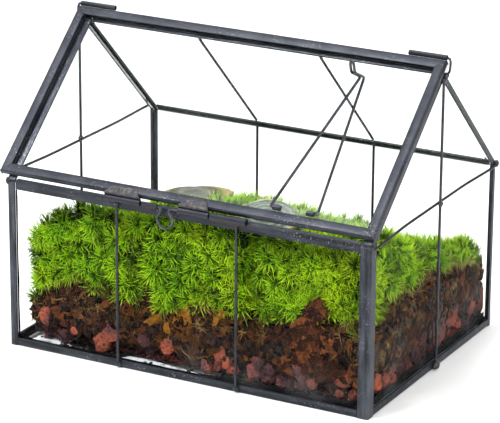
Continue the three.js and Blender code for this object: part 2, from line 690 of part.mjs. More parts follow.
function addProp(group) {
  const pivotS = LID_START + CHANNEL_FACE + SEAT + PROP_SLEEVE_R;
  const pivotN = (CHANNEL_DEPTH + GLASS) / 2 + SEAT + PROP_SLEEVE_R;
  const restN = (CHANNEL_DEPTH + GLASS) / 2 + SEAT + PROP_WIRE_R;
  const apexS = pivotS + PROP_LENGTH;
  const apexX = PROP_APEX_X - LID_SHIFT_X;
  const [leftX, rightX] = PROP_FEET_X.map((x) => x - LID_SHIFT_X);
  const footTurn = 1.6;

  // One leg and its half of the hook, from the tip of its foot in the sleeve to the top of the fold.
  const leg = (footX, towards, sx) => [
    vec(footX + towards * (PROP_SLEEVE_LENGTH + 2), pivotS, pivotN),
    vec(footX, pivotS, pivotN),
    vec(apexX + sx * PROP_SPREAD, apexS, restN),
    vec(apexX + sx * PROP_SPREAD, apexS - PROP_HOOK_BACK, PROP_HOOK_OUT),
    vec(apexX + sx * PROP_SPREAD, apexS - PROP_TIP_BACK, PROP_TIP_OUT),
  ];
  const fold = vec(apexX, apexS - PROP_TIP_BACK + 0.5, PROP_TIP_OUT + 1.2);
  const prop = wire([...leg(leftX, 1, -1), fold, ...leg(rightX, -1, 1).reverse()], PROP_WIRE_R);
  addPiece(group, "lid_prop", prop, steel);

  [leftX + footTurn + 0.6, rightX - footTurn - 0.6 - PROP_SLEEVE_LENGTH].forEach((x, i) => {
    const sleeve = tubeAlongX(pivotS, pivotN, [x, x + PROP_SLEEVE_LENGTH], PROP_SLEEVE_R, LATCH_BORE_R);
    addPiece(group, "prop_sleeve_" + ["left", "right"][i], sleeve, metal);
  });
}

// ---- The planting -------------------------------------------------------------------------------------

// A seeded source of random numbers from 0 to 1.
function randomSource(seed) {
  let state = seed;
  return () => {
    state = (state * 1664525 + 1013904223) % 4294967296;
    return state / 4294967296;
  };
}

const smooth = (edge0, edge1, x) => THREE.MathUtils.smoothstep(x, edge0, edge1);

// 1 in the back right corner, falling to 0 away from it: there the peat is low and the moss thick.
function inBackCorner(x, y) {
  return Math.exp(-(((x - INNER_X) / 32) ** 2) - ((y - INNER_Y) / 28) ** 2);
}

// The moss surface: high along the front, sloping down to the back, lower and sooner on the left, and rounded
// off at its free left end.
const MOSS_LEFT = -118;
const MOSS_SHOULDER_X = -60;
const MOSS_SHOULDER_DROP = 36;
const MOSS_CREST_HEIGHT = 113;
const MOSS_CREST_Y = -58;
const MOSS_LEFT_BACK_HEIGHT = 51;
function mossHeight(x, y) {
  const behind = y - MOSS_CREST_Y;
  const rightward = smooth(-3, 31, x);
  const fallBehind = (0.3 + 0.07 * rightward) * behind + 0.0008 * (1 - rightward) * behind ** 2;
  const fall = behind > 0 ? fallBehind : 0.0065 * behind ** 2;
  const crest = MOSS_CREST_HEIGHT - 2.4 * rightward - 5 * smooth(20, 110, x);
  const leftSlope = MOSS_LEFT_BACK_HEIGHT + 58 * Math.exp(-(y + INNER_Y) / 100);
  const slope = THREE.MathUtils.lerp(leftSlope, crest - fall, smooth(-62, -20, x));
  const knoll = 2.8 * Math.exp(-(((x - 118) / 26) ** 2) - ((y + 46) / 26) ** 2) + 3.5 * inBackCorner(x, y);
  const dip = 5 * Math.exp(-(((x + 6) / 16) ** 2) - ((y + 70) / 30) ** 2);
  const waves = 2.6 * Math.sin(x / 17 + 0.6) + 2.2 * Math.sin(y / 15 + x / 31);
  const t = THREE.MathUtils.clamp((MOSS_SHOULDER_X - x) / (MOSS_SHOULDER_X - MOSS_LEFT), 0, 1);
  const shoulder = MOSS_SHOULDER_DROP * (1 - Math.sqrt(1 - 0.98 * t * t));
  return slope + knoll - dip + waves - shoulder;
}

// The peat's surface: a mound under the moss, lower along the panes where it shows below the moss.
function soilHeight(x, y) {
  const frontEdge = 30 + 2.5 * Math.sin(x / 16 + 0.4) + 1.5 * Math.sin(x / 7 + 1) + 13 * smooth(48, 72, x);
  const rightEdge = 43 + 6 * Math.exp(-(((y - 5) / 38) ** 2)) + 1.8 * Math.sin(y / 8);
  const backEdge = 40 + 3 * Math.sin(x / 14);
  const leftEdge = 26 + 3 * Math.sin(y / 10);
  const climb = 1.5;
  const edges = [
    frontEdge + climb * (y + INNER_Y),
    rightEdge + climb * (INNER_X - x),
    backEdge + climb * (INNER_Y - y),
    leftEdge + climb * Math.max(0, x - SOIL_LEFT),
  ];
  return Math.min(...edges, mossHeight(x, y) - 16) - 3 * inBackCorner(x, y);
}

// A closed block between a height surface, on a square lattice over the inside, and a level far from it.
const LATTICE = 12;
function heightBlock(height, farZ) {
  const columns = Math.ceil((2 * INNER_X) / LATTICE);
  const rows = Math.ceil((2 * INNER_Y) / LATTICE);
  const positions = [];
  const faces = [];
  for (let j = 0; j <= rows; j++) {
    for (let i = 0; i <= columns; i++) {
      const x = -INNER_X + (2 * INNER_X * i) / columns;
      const y = -INNER_Y + (2 * INNER_Y * j) / rows;
      positions.push(x, y, height(x, y), x, y, farZ);
    }
  }
  const near = (i, j) => 2 * (j * (columns + 1) + i);
  const quad = (a, b, c, d) => faces.push(a, b, c, a, c, d);
  for (let j = 0; j < rows; j++) {
    for (let i = 0; i < columns; i++) {
      const [a, b, c, d] = [near(i, j), near(i + 1, j), near(i + 1, j + 1), near(i, j + 1)];
      quad(a, b, c, d);
      quad(d + 1, c + 1, b + 1, a + 1);
    }
  }
  for (let i = 0; i < columns; i++) {
    quad(near(i, 0) + 1, near(i + 1, 0) + 1, near(i + 1, 0), near(i, 0));
    quad(near(i + 1, rows) + 1, near(i, rows) + 1, near(i, rows), near(i + 1, rows));
  }
  for (let j = 0; j < rows; j++) {
    quad(near(0, j + 1) + 1, near(0, j) + 1, near(0, j), near(0, j + 1));
    quad(near(columns, j) + 1, near(columns, j + 1) + 1, near(columns, j + 1), near(columns, j));
  }
  if (farZ > height(0, 0)) {
    faces.reverse();
  }
  const geometry = new THREE.BufferGeometry();
  geometry.setAttribute("position", new THREE.BufferAttribute(new Float32Array(positions), 3));
  geometry.setIndex(faces);
  return solid(geometry);
}

// A lump with flat facets: a scaled, dented icosahedron.
function stoneGeometry(random, size) {
  const geometry = mergeVertices(new THREE.IcosahedronGeometry(1, 0).deleteAttribute("normal").deleteAttribute("uv"));
  const points = geometry.attributes.position;
  for (let i = 0; i < points.count; i++) {
    const dent = 0.78 + 0.34 * random();
    points.setXYZ(i, points.getX(i) * dent * size.x, points.getY(i) * dent * size.y, points.getZ(i) * dent * size.z);
  }
  return geometry;
}

// How far the planting's foot stands back from the front pane. In two places the base shows there.
function footSetback(x) {
  return STONE_STRIP.front + 5.5 * Math.exp(-(((x + 15) / 22) ** 4)) + 4.5 * Math.exp(-(((x + 112) / 13) ** 2));
}

// The strip along the front and right panes, below the stone line, that the peat leaves to the stones.
function stoneStrip() {
  const { side, backMargin, step } = STONE_STRIP;
  const points = [[INNER_X + 1, -INNER_Y - 1]];
  points.push([INNER_X + 1, INNER_Y - backMargin]);
  points.push([INNER_X - side, INNER_Y - backMargin]);
  for (let x = INNER_X - side; x > -INNER_X; x -= step) {
    points.push([x, -INNER_Y + footSetback(x)]);
  }
  points.push([-INNER_X - 1, -INNER_Y + footSetback(-INNER_X)]);
  points.push([-INNER_X - 1, -INNER_Y - 1]);
  return bar(outline(points), vec(0, 0, 0), vec(0, 0, STONE_LINE), X);
}

// Where the lava stones lie: close along the front and right panes, and thinly under the peat elsewhere.
function stonePlaces() {
  const random = randomSource(11);
  const places = [];
  const add = (x, y, reach) => {
    const size = vec(5 + 3.5 * random(), 4.5 + 2 * random(), 4.5 + 3.2 * random()).multiplyScalar(reach);
    const turn = new THREE.Euler(random() * 0.8, random() * 0.8, random() * 6.28);
    places.push({ x, y, z: STONE_BED_TOP - 1 + 3 * random() + (reach > 1 ? 3 : 0), size, turn, seed: random() * 1e6 });
  };
  for (let x = -107; x < 120; x += 12.5) {
    const y = -INNER_Y + footSetback(x) + 2.4;
    add(x + 3 * random(), y + 1.5 * random(), 0.9 + 0.25 * random());
  }
  const rightX = INNER_X - 6;
  for (let y = -68; y < 82; y += 13) {
    add(rightX - 1.5 * random(), y + 3 * random(), 0.9 + 0.25 * random());
  }
  for (let y = -50; y < 80; y += 32) {
    add(SOIL_LEFT + 8 + 3 * random(), y, 0.9);
  }
  for (let x = -80; x < 105; x += 34) {
    add(x, INNER_Y - 8, 0.9);
  }
  return places;
}

function stones(places, grow) {
  const keepIn = box(
    vec(-INNER_X + 1, -INNER_Y + 0.6 - grow, PANE_BOTTOM),
    vec(INNER_X - 0.6 + grow, INNER_Y - 0.6, 60),
  );
  const lumps = places.map(({ x, y, z, size, turn, seed }) => {
    const place = new THREE.Matrix4().makeRotationFromEuler(turn).setPosition(vec(x, y, z));
    const grown = size.clone().addScalar(grow * 1.3);
    return solid(stoneGeometry(randomSource(Math.floor(seed)), grown), place);
  });
  const bed = box(
    vec(SOIL_LEFT + 4 - grow, -INNER_Y + 9.5 - grow, PANE_BOTTOM),
    vec(INNER_X - 5 + grow, INNER_Y - 5 + grow, STONE_BED_TOP - 2 + grow),
  );
  return joined([bed, ...lumps]).intersect(keepIn);
}

// Bark: a flat slab with a broken outline, set into the peat against the front pane.
function barkChip(place, grow) {
  const points = place.profile.map(([x, z]) => [x * (1 + grow / 12), z * (1 + grow / 12)]);
  const depth = place.depth + 2 * grow;
  const geometry = new THREE.ExtrudeGeometry(outline(points), { depth, bevelEnabled: false });
  const turn = new THREE.Matrix4().makeBasis(X, Z, Y.clone().negate());
  const move = new THREE.Matrix4().makeRotationY(place.lean).setPosition(place.at.clone().add(vec(0, grow, 0)));
  return solid(geometry, move.multiply(turn));
}

const BARK_CHIPS = {
  bark_chip_standing: {
    at: vec(86, -INNER_Y + 5.8, 51.5),
    lean: 0.35,
    depth: 5.5,
    profile: [[-6, -17], [5, -16], [10, -8], [5, 2], [4, 12], [-1, 19], [-5, 15], [-4, 4], [-8, -5]],
  },
  bark_chip_lying: {
    at: vec(90, -INNER_Y + 5.3, 26.6),
    lean: 0.04,
    depth: 5,
    profile: [[-25, -2], [-12, -6], [8, -5], [24, -3], [22, 3], [6, 5], [-10, 4]],
  },
};

// A bracket fungus: a thin shelf with a wavy rim and low rings on its upper face.
function bracket({ radius, thickness, rings, stretch, waves, at, tilt, turn, sectors }, grow) {
  const ringCount = rings * 2 + 1;
  const positions = [];
  const faces = [];
  const rim = (angle) => radius * (1 + 0.07 * Math.sin(3 * angle + waves) + 0.04 * Math.sin(7 * angle)) + grow;
  const levels = [...Array(ringCount + 1).keys()].map((k) => [k, 1]).concat([[ringCount, 0], [0, 0]]);
  for (const [k, upper] of levels) {
    for (let i = 0; i < sectors; i++) {
      const angle = (2 * Math.PI * i) / sectors;
      const share = k / ringCount;
      const r = rim(angle) * share;
      const crown = thickness * (0.45 + 0.55 * Math.cos((share * Math.PI) / 2));
      const ring = k > 0 && k < ringCount && k % 2 ? 0.5 : 0;
      const z = upper ? crown * 0.5 + ring + grow : -crown * 0.5 - grow;
      positions.push(r * Math.cos(angle) * stretch, r * Math.sin(angle), z);
    }
  }
  const at3 = (level, i) => level * sectors + (i % sectors);
  for (let level = 0; level + 1 < levels.length; level++) {
    for (let i = 0; i < sectors; i++) {
      const [a, b, c, d] = [at3(level, i), at3(level + 1, i), at3(level + 1, i + 1), at3(level, i + 1)];
      if (levels[level + 1][0] > 0) {
        faces.push(a, b, c);
      }
      if (levels[level][0] > 0) {
        faces.push(a, levels[level + 1][0] > 0 ? c : b, d);
      }
    }
  }
  const geometry = new THREE.BufferGeometry();
  geometry.setAttribute("position", new THREE.BufferAttribute(new Float32Array(positions), 3));
  geometry.setIndex(faces);
  const place = new THREE.Matrix4().makeRotationFromEuler(new THREE.Euler(tilt, turn[0], turn[1]));
  place.setPosition(at);
  return solid(geometry, place);
}

// A place on the moss, sunk a little among the needles.
function onMoss(x, y) {
  return vec(x, y, mossHeight(x, y) - 1.6);
}

const BRACKETS = {
  bracket_fungus_flat: {
    radius: 16,
    thickness: 4.5,
    rings: 2,
    stretch: 1.4,
    waves: 0.4,
    sectors: 22,
    at: onMoss(-17, -46).add(vec(0, 0, 1.8)),
    tilt: 0.02,
    turn: [-0.05, 0.35],
  },
  bracket_fungus_ringed: {
    radius: 21,
    thickness: 4,
    rings: 4,
    stretch: 1.04,
    waves: 2.1,
    sectors: 26,
    at: onMoss(41, -62),
    tilt: 0.17,
    turn: [0.04, 0],
  },
  bracket_fungus_small: {
    radius: 7.5,
    thickness: 3,
    rings: 2,
    stretch: 1.2,
    waves: 1,
    sectors: 16,
    at: onMoss(54, -37),
    tilt: 0,
    turn: [0.1, 0],
  },
};

// The moss grows in cushions that meet along wavy lines. Each line is a function of the other coordinate.
const ROW_LINE = (x) => -4 + 6 * Math.sin(x / 24);
const COLUMN_LINES = {
  frontA: (y) => -34 + 5 * Math.sin(y / 13),
  frontB: (y) => 42 + 5 * Math.sin(y / 15 + 2),
  back: (y) => 8 + 6 * Math.sin(y / 14 + 1),
};
const NEEDLE_ROOM = 4.5;
const MOSS_FRONT = -INNER_Y + NEEDLE_ROOM;
const MOSS_BACK = INNER_Y - NEEDLE_ROOM;
const MOSS_RIGHT = INNER_X - NEEDLE_ROOM;
const leftEnd = () => MOSS_LEFT;
const rightEnd = () => MOSS_RIGHT;
const frontEnd = () => MOSS_FRONT;
const backEnd = () => MOSS_BACK;
const CUSHIONS = [
  { name: "moss_front_left", left: leftEnd, right: COLUMN_LINES.frontA, front: frontEnd, back: ROW_LINE },
  { name: "moss_front_middle", left: COLUMN_LINES.frontA, right: COLUMN_LINES.frontB, front: frontEnd, back: ROW_LINE },
  { name: "moss_front_right", left: COLUMN_LINES.frontB, right: rightEnd, front: frontEnd, back: ROW_LINE },
  { name: "moss_back_left", left: leftEnd, right: COLUMN_LINES.back, front: ROW_LINE, back: backEnd },
  { name: "moss_back_right", left: COLUMN_LINES.back, right: rightEnd, front: ROW_LINE, back: backEnd },
];

// How far a point lies inside its cushion's lines; the glass is no line, so the moss stands full against it.
function roomInCushion(cushion, x, y) {
  const gap = CUSHION_GAP / 2;
  return Math.min(
    cushion.left === leftEnd ? Infinity : x - cushion.left(y) - gap,
    cushion.right === rightEnd ? Infinity : cushion.right(y) - x - gap,
    cushion.front === frontEnd ? Infinity : y - cushion.front(x) - gap,
    cushion.back === backEnd ? Infinity : cushion.back(x) - y - gap,
  );
}

// The cushion's ground plan, walked along its four lines.
function cushionPlan(cushion) {
  const steps = 7;
  const gap = CUSHION_GAP / 2;
  const corner = (lineX, lineY, sx, sy) => {
    let [x, y] = [lineX(0), lineY(0)];
    for (let pass = 0; pass < 12; pass++) {
      x = lineX(y) + sx * gap;
      y = lineY(x) + sy * gap;
    }
    return [x, y];
  };
  const corners = [
    corner(cushion.left, cushion.front, 1, 1),
    corner(cushion.right, cushion.front, -1, 1),
    corner(cushion.right, cushion.back, -1, -1),
    corner(cushion.left, cushion.back, 1, -1),
  ];
  const points = [];
  for (let k = 0; k < steps; k++) {
    const x = THREE.MathUtils.lerp(corners[0][0], corners[1][0], k / steps);
    points.push([x, cushion.front(x) + gap]);
  }
  for (let k = 0; k < steps; k++) {
    const y = THREE.MathUtils.lerp(corners[1][1], corners[2][1], k / steps);
    points.push([cushion.right(y) - gap, y]);
  }
  for (let k = 0; k < steps; k++) {
    const x = THREE.MathUtils.lerp(corners[2][0], corners[3][0], k / steps);
    points.push([x, cushion.back(x) - gap]);
  }
  for (let k = 0; k < steps; k++) {
    const y = THREE.MathUtils.lerp(corners[3][1], corners[0][1], k / steps);
    points.push([cushion.left(y) + gap, y]);
  }
  return points;
}

function cushionCore(cushion, mossTop, aboveSoil) {
  const plan = bar(outline(cushionPlan(cushion)), vec(0, 0, 10), vec(0, 0, 160), X);
  return plan.intersect(mossTop).intersect(aboveSoil);
}

// One needle: a slim three-sided spike with its root sunk into the cushion.
function needle(root, direction, length) {
  const geometry = new THREE.ConeGeometry(NEEDLE_R, length, 3, 1);
  geometry.translate(0, length / 2, 0);
  const turn = new THREE.Quaternion().setFromUnitVectors(Y, direction);
  return solid(geometry, new THREE.Matrix4().makeRotationFromQuaternion(turn).setPosition(root));
}

// Needles spread evenly by area over the faces of a cushion that show, leaning out and up.
function mossNeedles(cushion, core, random) {
  const { vertProperties, triVerts } = core.getMesh();
  const at = (i) => vec(vertProperties[3 * i], vertProperties[3 * i + 1], vertProperties[3 * i + 2]);
  const faces = [];
  let area = 0;
  for (let i = 0; i < triVerts.length; i += 3) {
    const [a, b, c] = [at(triVerts[i]), at(triVerts[i + 1]), at(triVerts[i + 2])];
    const cross = b.clone().sub(a).cross(c.clone().sub(a));
    const size = cross.length() / 2;
    const normal = cross.normalize();
    const middle = a.clone().add(b).add(c).divideScalar(3);
    if (normal.z > -0.2 && roomInCushion(cushion, middle.x, middle.y) > 1) {
      area += size;
      faces.push({ a, b, c, normal, upTo: area });
    }
  }
  const spikes = [];
  const inside = (p) =>
    Math.abs(p.x) < INNER_X - 1 && Math.abs(p.y) < INNER_Y - 1 && roomInCushion(cushion, p.x, p.y) > 1;
  for (let tries = 0; spikes.length < NEEDLES_PER_CUSHION && tries < 20 * NEEDLES_PER_CUSHION; tries++) {
    const pick = random() * area;
    const face = faces.find((f) => f.upTo >= pick);
    let [u, v] = [random(), random()];
    if (u + v > 1) {
      [u, v] = [1 - u, 1 - v];
    }
    const spot = face.a.clone()
      .addScaledVector(face.b.clone().sub(face.a), u)
      .addScaledVector(face.c.clone().sub(face.a), v);
    // Against the glass the needles lie nearly along it; elsewhere they stand out from the cushion.
    const nearGlass = Math.min(INNER_X - Math.abs(spot.x), INNER_Y - Math.abs(spot.y)) < NEEDLE_ROOM + 1;
    const onGlass = nearGlass && Math.abs(face.normal.z) < 0.6;
    const root = spot.clone().addScaledVector(face.normal, onGlass ? -1.2 : -2.2);
    for (let k = 0; k < NEEDLES_PER_TUFT; k++) {
      const lean = vec(random() - 0.5, random() - 0.5, random() - 0.2).multiplyScalar(2);
      const upright = onGlass ? vec(0, 0, 0.6) : face.normal.clone().add(vec(0, 0, 0.3));
      const direction = upright.add(lean);
      direction.addScaledVector(face.normal, (onGlass ? 0.55 : 0.9) - direction.dot(face.normal)).normalize();
      const length = THREE.MathUtils.lerp(NEEDLE_LENGTH[0], NEEDLE_LENGTH[1], random());
      const tip = root.clone().addScaledVector(direction, length);
      if (inside(root) && inside(tip) && Math.min(root.z, tip.z) > soilHeight(root.x, root.y) + 4) {
        spikes.push(needle(root, direction, length));
      }
    }
  }
  return spikes;
}

function addPlanting(group) {
  const places = stonePlaces();
  addPiece(group, "lava_stones", largest(stones(places, 0)), lava);

  const grownBark = joined(Object.values(BARK_CHIPS).map((chip) => barkChip(chip, SEAT)));
  const grownBrackets = joined(Object.values(BRACKETS).map((spec) => bracket(spec, SEAT)));

  // Peat, from the stones up to its own surface, a little clear of the panes.
  const room = box(
    vec(SOIL_LEFT, -INNER_Y + 0.8, STONE_BED_TOP - 2 + SEAT),
    vec(INNER_X - 0.8, INNER_Y - 0.8, RIDGE_Z),
  );
  const soil = heightBlock(soilHeight, 0)
    .intersect(room)
    .subtract(stoneStrip())
    .subtract(stones(places, SEAT))
    .subtract(grownBark);
  addPiece(group, "peat", largest(soil), peat);

  for (const [name, chip] of Object.entries(BARK_CHIPS)) {
    addPiece(group, name, barkChip(chip, 0), barkSkin);
  }

  const mossTop = heightBlock((x, y) => mossHeight(x, y) - 5, 0);
  const aboveSoil = heightBlock((x, y) => soilHeight(x, y) + SEAT, RIDGE_Z);
  CUSHIONS.forEach((cushion, i) => {
    const core = cushionCore(cushion, mossTop, aboveSoil);
    const spikes = mossNeedles(cushion, core, randomSource(101 + i));
    const body = joined([core, ...spikes]).intersect(aboveSoil).subtract(grownBark).subtract(grownBrackets);
    addPiece(group, cushion.name, largest(body), mossGreen);
  });

  for (const [name, spec] of Object.entries(BRACKETS)) {
    addPiece(group, name, bracket(spec, 0), fungusGrey);
  }
}

addPosts(terrarium);
addBaseRails(terrarium);
addRafters(terrarium);
addEaveAndRidgeRails(terrarium);
addCasePanes(terrarium);
addGlazingBars(terrarium);
addGableWires(terrarium);
addLidFrame(lid);
addHinges(lid, terrarium);
addLatchTubes(lid, terrarium);
addLatchPin(terrarium);
addProp(lid);
addPlanting(terrarium);

export default root;
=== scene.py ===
"""The looks of the glass terrarium: patinated metal strip, clear glass, moss, peat, lava stones and fungi."""

import math
import random

import bmesh
import bpy
import numpy as np
from mathutils import Matrix, Vector, kdtree, noise


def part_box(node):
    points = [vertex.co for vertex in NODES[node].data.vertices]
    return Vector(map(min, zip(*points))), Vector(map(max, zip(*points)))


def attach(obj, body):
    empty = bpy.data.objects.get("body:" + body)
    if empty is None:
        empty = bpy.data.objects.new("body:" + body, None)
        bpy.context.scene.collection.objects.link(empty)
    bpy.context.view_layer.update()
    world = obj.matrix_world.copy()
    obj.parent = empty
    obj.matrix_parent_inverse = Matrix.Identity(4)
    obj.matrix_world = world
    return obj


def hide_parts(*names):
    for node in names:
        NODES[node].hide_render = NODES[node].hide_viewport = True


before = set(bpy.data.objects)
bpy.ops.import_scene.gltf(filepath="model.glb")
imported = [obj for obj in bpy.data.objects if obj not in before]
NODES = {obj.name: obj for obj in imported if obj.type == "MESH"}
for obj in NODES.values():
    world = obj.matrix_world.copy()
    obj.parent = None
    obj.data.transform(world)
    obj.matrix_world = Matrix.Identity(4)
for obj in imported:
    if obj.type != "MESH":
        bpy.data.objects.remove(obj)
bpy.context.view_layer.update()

# ---- Camera, light and floor --------------------------------------------------------------------------

MM = 0.001
CASE_SHIFT_MM = 1.5
CASE_SHIFT = Vector((CASE_SHIFT_MM, CASE_SHIFT_MM, 0)) * MM

camera_data = bpy.data.cameras.new("camera")
camera = bpy.data.objects.new("camera", camera_data)
bpy.context.collection.objects.link(camera)
AZIMUTH = math.radians(28.2065)
ELEVATION = math.radians(19.0783)
ROLL = math.radians(0.3837)
back = Vector((
    math.sin(AZIMUTH) * math.cos(ELEVATION),
    -math.cos(AZIMUTH) * math.cos(ELEVATION),
    math.sin(ELEVATION),
))
right = (-back).cross(Vector((0, 0, 1))).normalized()
up = right.cross(-back)
turned_right = math.cos(ROLL) * right + math.sin(ROLL) * up
turned_up = -math.sin(ROLL) * right + math.cos(ROLL) * up
place = Matrix((turned_right, turned_up, back)).transposed().to_4x4()
place.translation = Vector((835.3, -1562.8, 698.6)) * MM + CASE_SHIFT
camera.matrix_world = place
camera_data.lens = 207.25
camera_data.sensor_width = 36
camera_data.clip_end = 20
bpy.context.scene.camera = camera


def area_light(name, location, target, size, watts):
    data = bpy.data.lights.new(name, "AREA")
    data.size = size
    data.energy = watts
    light = bpy.data.objects.new(name, data)
    light.location = location
    light.rotation_euler = (Vector(target) - Vector(location)).to_track_quat("-Z", "Y").to_euler()
    bpy.context.collection.objects.link(light)


area_light("key", (-0.55, -1.0, 1.7), (0, 0, 0.08), 0.6, 34)
area_light("fill", (1.5, -0.6, 1.0), (0, 0, 0.08), 0.9, 12)
area_light("behind", (0.2, 1.5, 1.3), (0, 0, 0.1), 1.4, 14)

world = bpy.data.worlds.new("world")
world.use_nodes = True
world.node_tree.nodes["Background"].inputs["Color"].default_value = (1, 1, 1, 1)
seen = world.node_tree.nodes.new("ShaderNodeLightPath")
softened = world.node_tree.nodes.new("ShaderNodeMapRange")
softened.inputs["To Min"].default_value = 0.85
softened.inputs["To Max"].default_value = 0.38
world.node_tree.links.new(seen.outputs["Is Glossy Ray"], softened.inputs["Value"])
world.node_tree.links.new(softened.outputs[0], world.node_tree.nodes["Background"].inputs["Strength"])
bpy.context.scene.world = world
bpy.context.scene.view_settings.view_transform = "Standard"


# ---- Materials ----------------------------------------------------------------------------------------

class Shader:
    """A material being built: a Principled shader and the nodes that feed it."""

    def __init__(self, name, **values):
        self.material = bpy.data.materials.new(name)
        self.material.use_nodes = True
        self.tree = self.material.node_tree
        self.bsdf = self.tree.nodes["Principled BSDF"]
        self.coords = self.tree.nodes.new("ShaderNodeTexCoord")
        for key, value in values.items():
            self.bsdf.inputs[key.replace("_", " ")].default_value = value

    def node(self, kind, inputs=(), **properties):
        made = self.tree.nodes.new("ShaderNode" + kind)
        for key, value in properties.items():
            setattr(made, key, value)
        for key, value in dict(inputs).items():
            self.feed(made.inputs[key], value)
        return made

    def feed(self, socket, value):
        if isinstance(value, bpy.types.NodeSocket):
            self.tree.links.new(value, socket)
        else:
            socket.default_value = value

    def noise(self, scale, detail=4.0, roughness=0.55, stretch=None, vector=None):
        inputs = {"Scale": scale, "Detail": detail, "Roughness": roughness}
        inputs["Vector"] = vector or self.coords.outputs["Object"]
        if stretch:
            mapped = self.node("Mapping", {"Vector": inputs["Vector"], "Scale": stretch})
            inputs["Vector"] = mapped.outputs[0]
        return self.node("TexNoise", inputs).outputs["Fac"]

    def drawn_out(self, axis, share=0.93):
        """The object coordinates with most of their length along an axis taken out, for streaks along it."""
        place = self.coords.outputs["Object"]
        reach = self.node("VectorMath", {0: place, 1: axis}, operation="DOT_PRODUCT").outputs["Value"]
        shift = self.math("MULTIPLY", reach, -share)
        taken = self.node("VectorMath", {0: axis, "Scale": shift}, operation="SCALE")
        return self.node("VectorMath", {0: place, 1: taken.outputs[0]}, operation="ADD").outputs[0]

    def cells(self, scale):
        inputs = {"Vector": self.coords.outputs["Object"], "Scale": scale}
        return self.node("TexVoronoi", inputs).outputs["Distance"]

    def attribute(self, name):
        return self.node("Attribute", attribute_name=name).outputs["Fac"]

    def ramp(self, factor, stops):
        made = self.node("ValToRGB", {"Fac": factor})
        elements = made.color_ramp.elements
        while len(elements) < len(stops):
            elements.new(0.5)
        for element, (position, colour) in zip(elements, stops):
            element.position = position
            element.color = (*colour, 1)
        return made.outputs["Color"]

    def mix(self, factor, a, b, blend="MIX"):
        made = self.node("Mix", data_type="RGBA", blend_type=blend)
        for socket, value in ((made.inputs[0], factor), (made.inputs[6], a), (made.inputs[7], b)):
            if isinstance(value, tuple):
                value = (*value, 1)
            self.feed(socket, value)
        return made.outputs[2]

    def math(self, operation, a, b=0.5, clamp=False):
        made = self.node("Math", operation=operation, use_clamp=clamp)
        self.feed(made.inputs[0], a)
        self.feed(made.inputs[1], b)
        return made.outputs[0]

    def span(self, value, low, high, to_low=0.0, to_high=1.0):
        inputs = {"Value": value, "From Min": low, "From Max": high, "To Min": to_low, "To Max": to_high}
        return self.node("MapRange", inputs).outputs[0]

    def axis(self, letter, of="Object"):
        split = self.node("SeparateXYZ", {"Vector": self.coords.outputs[of]})
        return split.outputs[letter]

    def bump(self, height, distance, strength=1.0):
        inputs = {"Height": height, "Distance": distance, "Strength": strength}
        made = self.node("Bump", inputs)
        if self.bsdf.inputs["Normal"].links:
            self.feed(made.inputs["Normal"], self.bsdf.inputs["Normal"].links[0].from_socket)
        self.set("Normal", made.outputs[0])

    def set(self, name, value):
        self.feed(self.bsdf.inputs[name], value)


def came_material(name, dark, light, painted_top_tone, axis=(1, 0, 0), metallic=0.6):
    """Patinated strip with streaks along its length, and painted light and shade on the faces that look up.
    """
    shader = Shader(name, Metallic=metallic, Specular_IOR_Level=0.4)
    streaks = shader.drawn_out(axis)
    cloud = shader.noise(330, 5, 0.65, vector=streaks)
    body = shader.ramp(cloud, [(0.38, dark), (0.66, light)])
    # Painted light and shade: faces that look up are drawn towards the painted top tone.
    top_light_share = shader.span(shader.axis("Z", "Normal"), 0.35, 0.85)
    body = shader.mix(shader.math("MULTIPLY", top_light_share, 0.75), body, painted_top_tone)
    specks = shader.ramp(shader.noise(900, 2), [(0.63, (0, 0, 0)), (0.71, (1, 1, 1))])
    patches = shader.ramp(shader.noise(38, 3), [(0.44, (0, 0, 0)), (0.6, (1, 1, 1))])
    marks = shader.math("MULTIPLY", shader.mix(1.0, specks, patches, "MULTIPLY"), 0.7)
    dulled = shader.mix(1.0, body, (0.6, 0.62, 0.68), "MULTIPLY")
    body = shader.mix(shader.span(shader.noise(60, 3), 0.35, 0.65), body, dulled)
    shader.set("Base Color", shader.mix(marks, body, (0.42, 0.44, 0.47)))
    shader.set("Roughness", shader.span(cloud, 0.3, 0.7, 0.34, 0.62))
    shader.bump(cloud, 0.0003, 0.5)
    shader.bump(shader.noise(420, 4), 0.00035, 0.5)
    shader.bump(shader.noise(55, 2), 0.0012, 0.3)
    return shader.material


def wire_material(name, colour):
    shader = Shader(name, Metallic=0.85)
    worn = tuple(min(1.0, c * 2.1) for c in colour)
    shader.set("Base Color", shader.ramp(shader.noise(160, 4), [(0.38, colour), (0.75, worn)]))
    shader.set("Roughness", shader.span(shader.noise(500, 2), 0.3, 0.7, 0.25, 0.5))
    shader.bump(shader.noise(700, 3), 0.0002, 0.4)
    return shader.material


def solder_material(name, on_tubes=False):
    """Speckled grey solder. On the latch it is only on the tabs, and their tubes are dark with rust below."""
    shader = Shader(name, Metallic=0.55)
    patina = shader.ramp(shader.noise(420, 6, 0.75), [
        (0.36, (0.022, 0.022, 0.026)),
        (0.55, (0.060, 0.056, 0.060)),
        (0.66, (0.16, 0.145, 0.14)),
        (0.78, (0.38, 0.34, 0.32)),
    ])
    if on_tubes:
        over_tube = shader.span(shader.axis("Z"), 0.1166, 0.1176)
        below = shader.span(shader.axis("Z"), 0.1146, 0.1132)
        under_tube = shader.math("MULTIPLY", below, shader.noise(150, 3))
        tube = shader.mix(under_tube, (0.030, 0.034, 0.046), (0.085, 0.045, 0.034))
        patina = shader.mix(over_tube, tube, patina)
    shader.set("Base Color", patina)
    shader.set("Roughness", shader.span(shader.noise(340, 3), 0.3, 0.7, 0.32, 0.62))
    shader.bump(shader.noise(420, 6, 0.7), 0.0004, 0.6)
    return shader.material


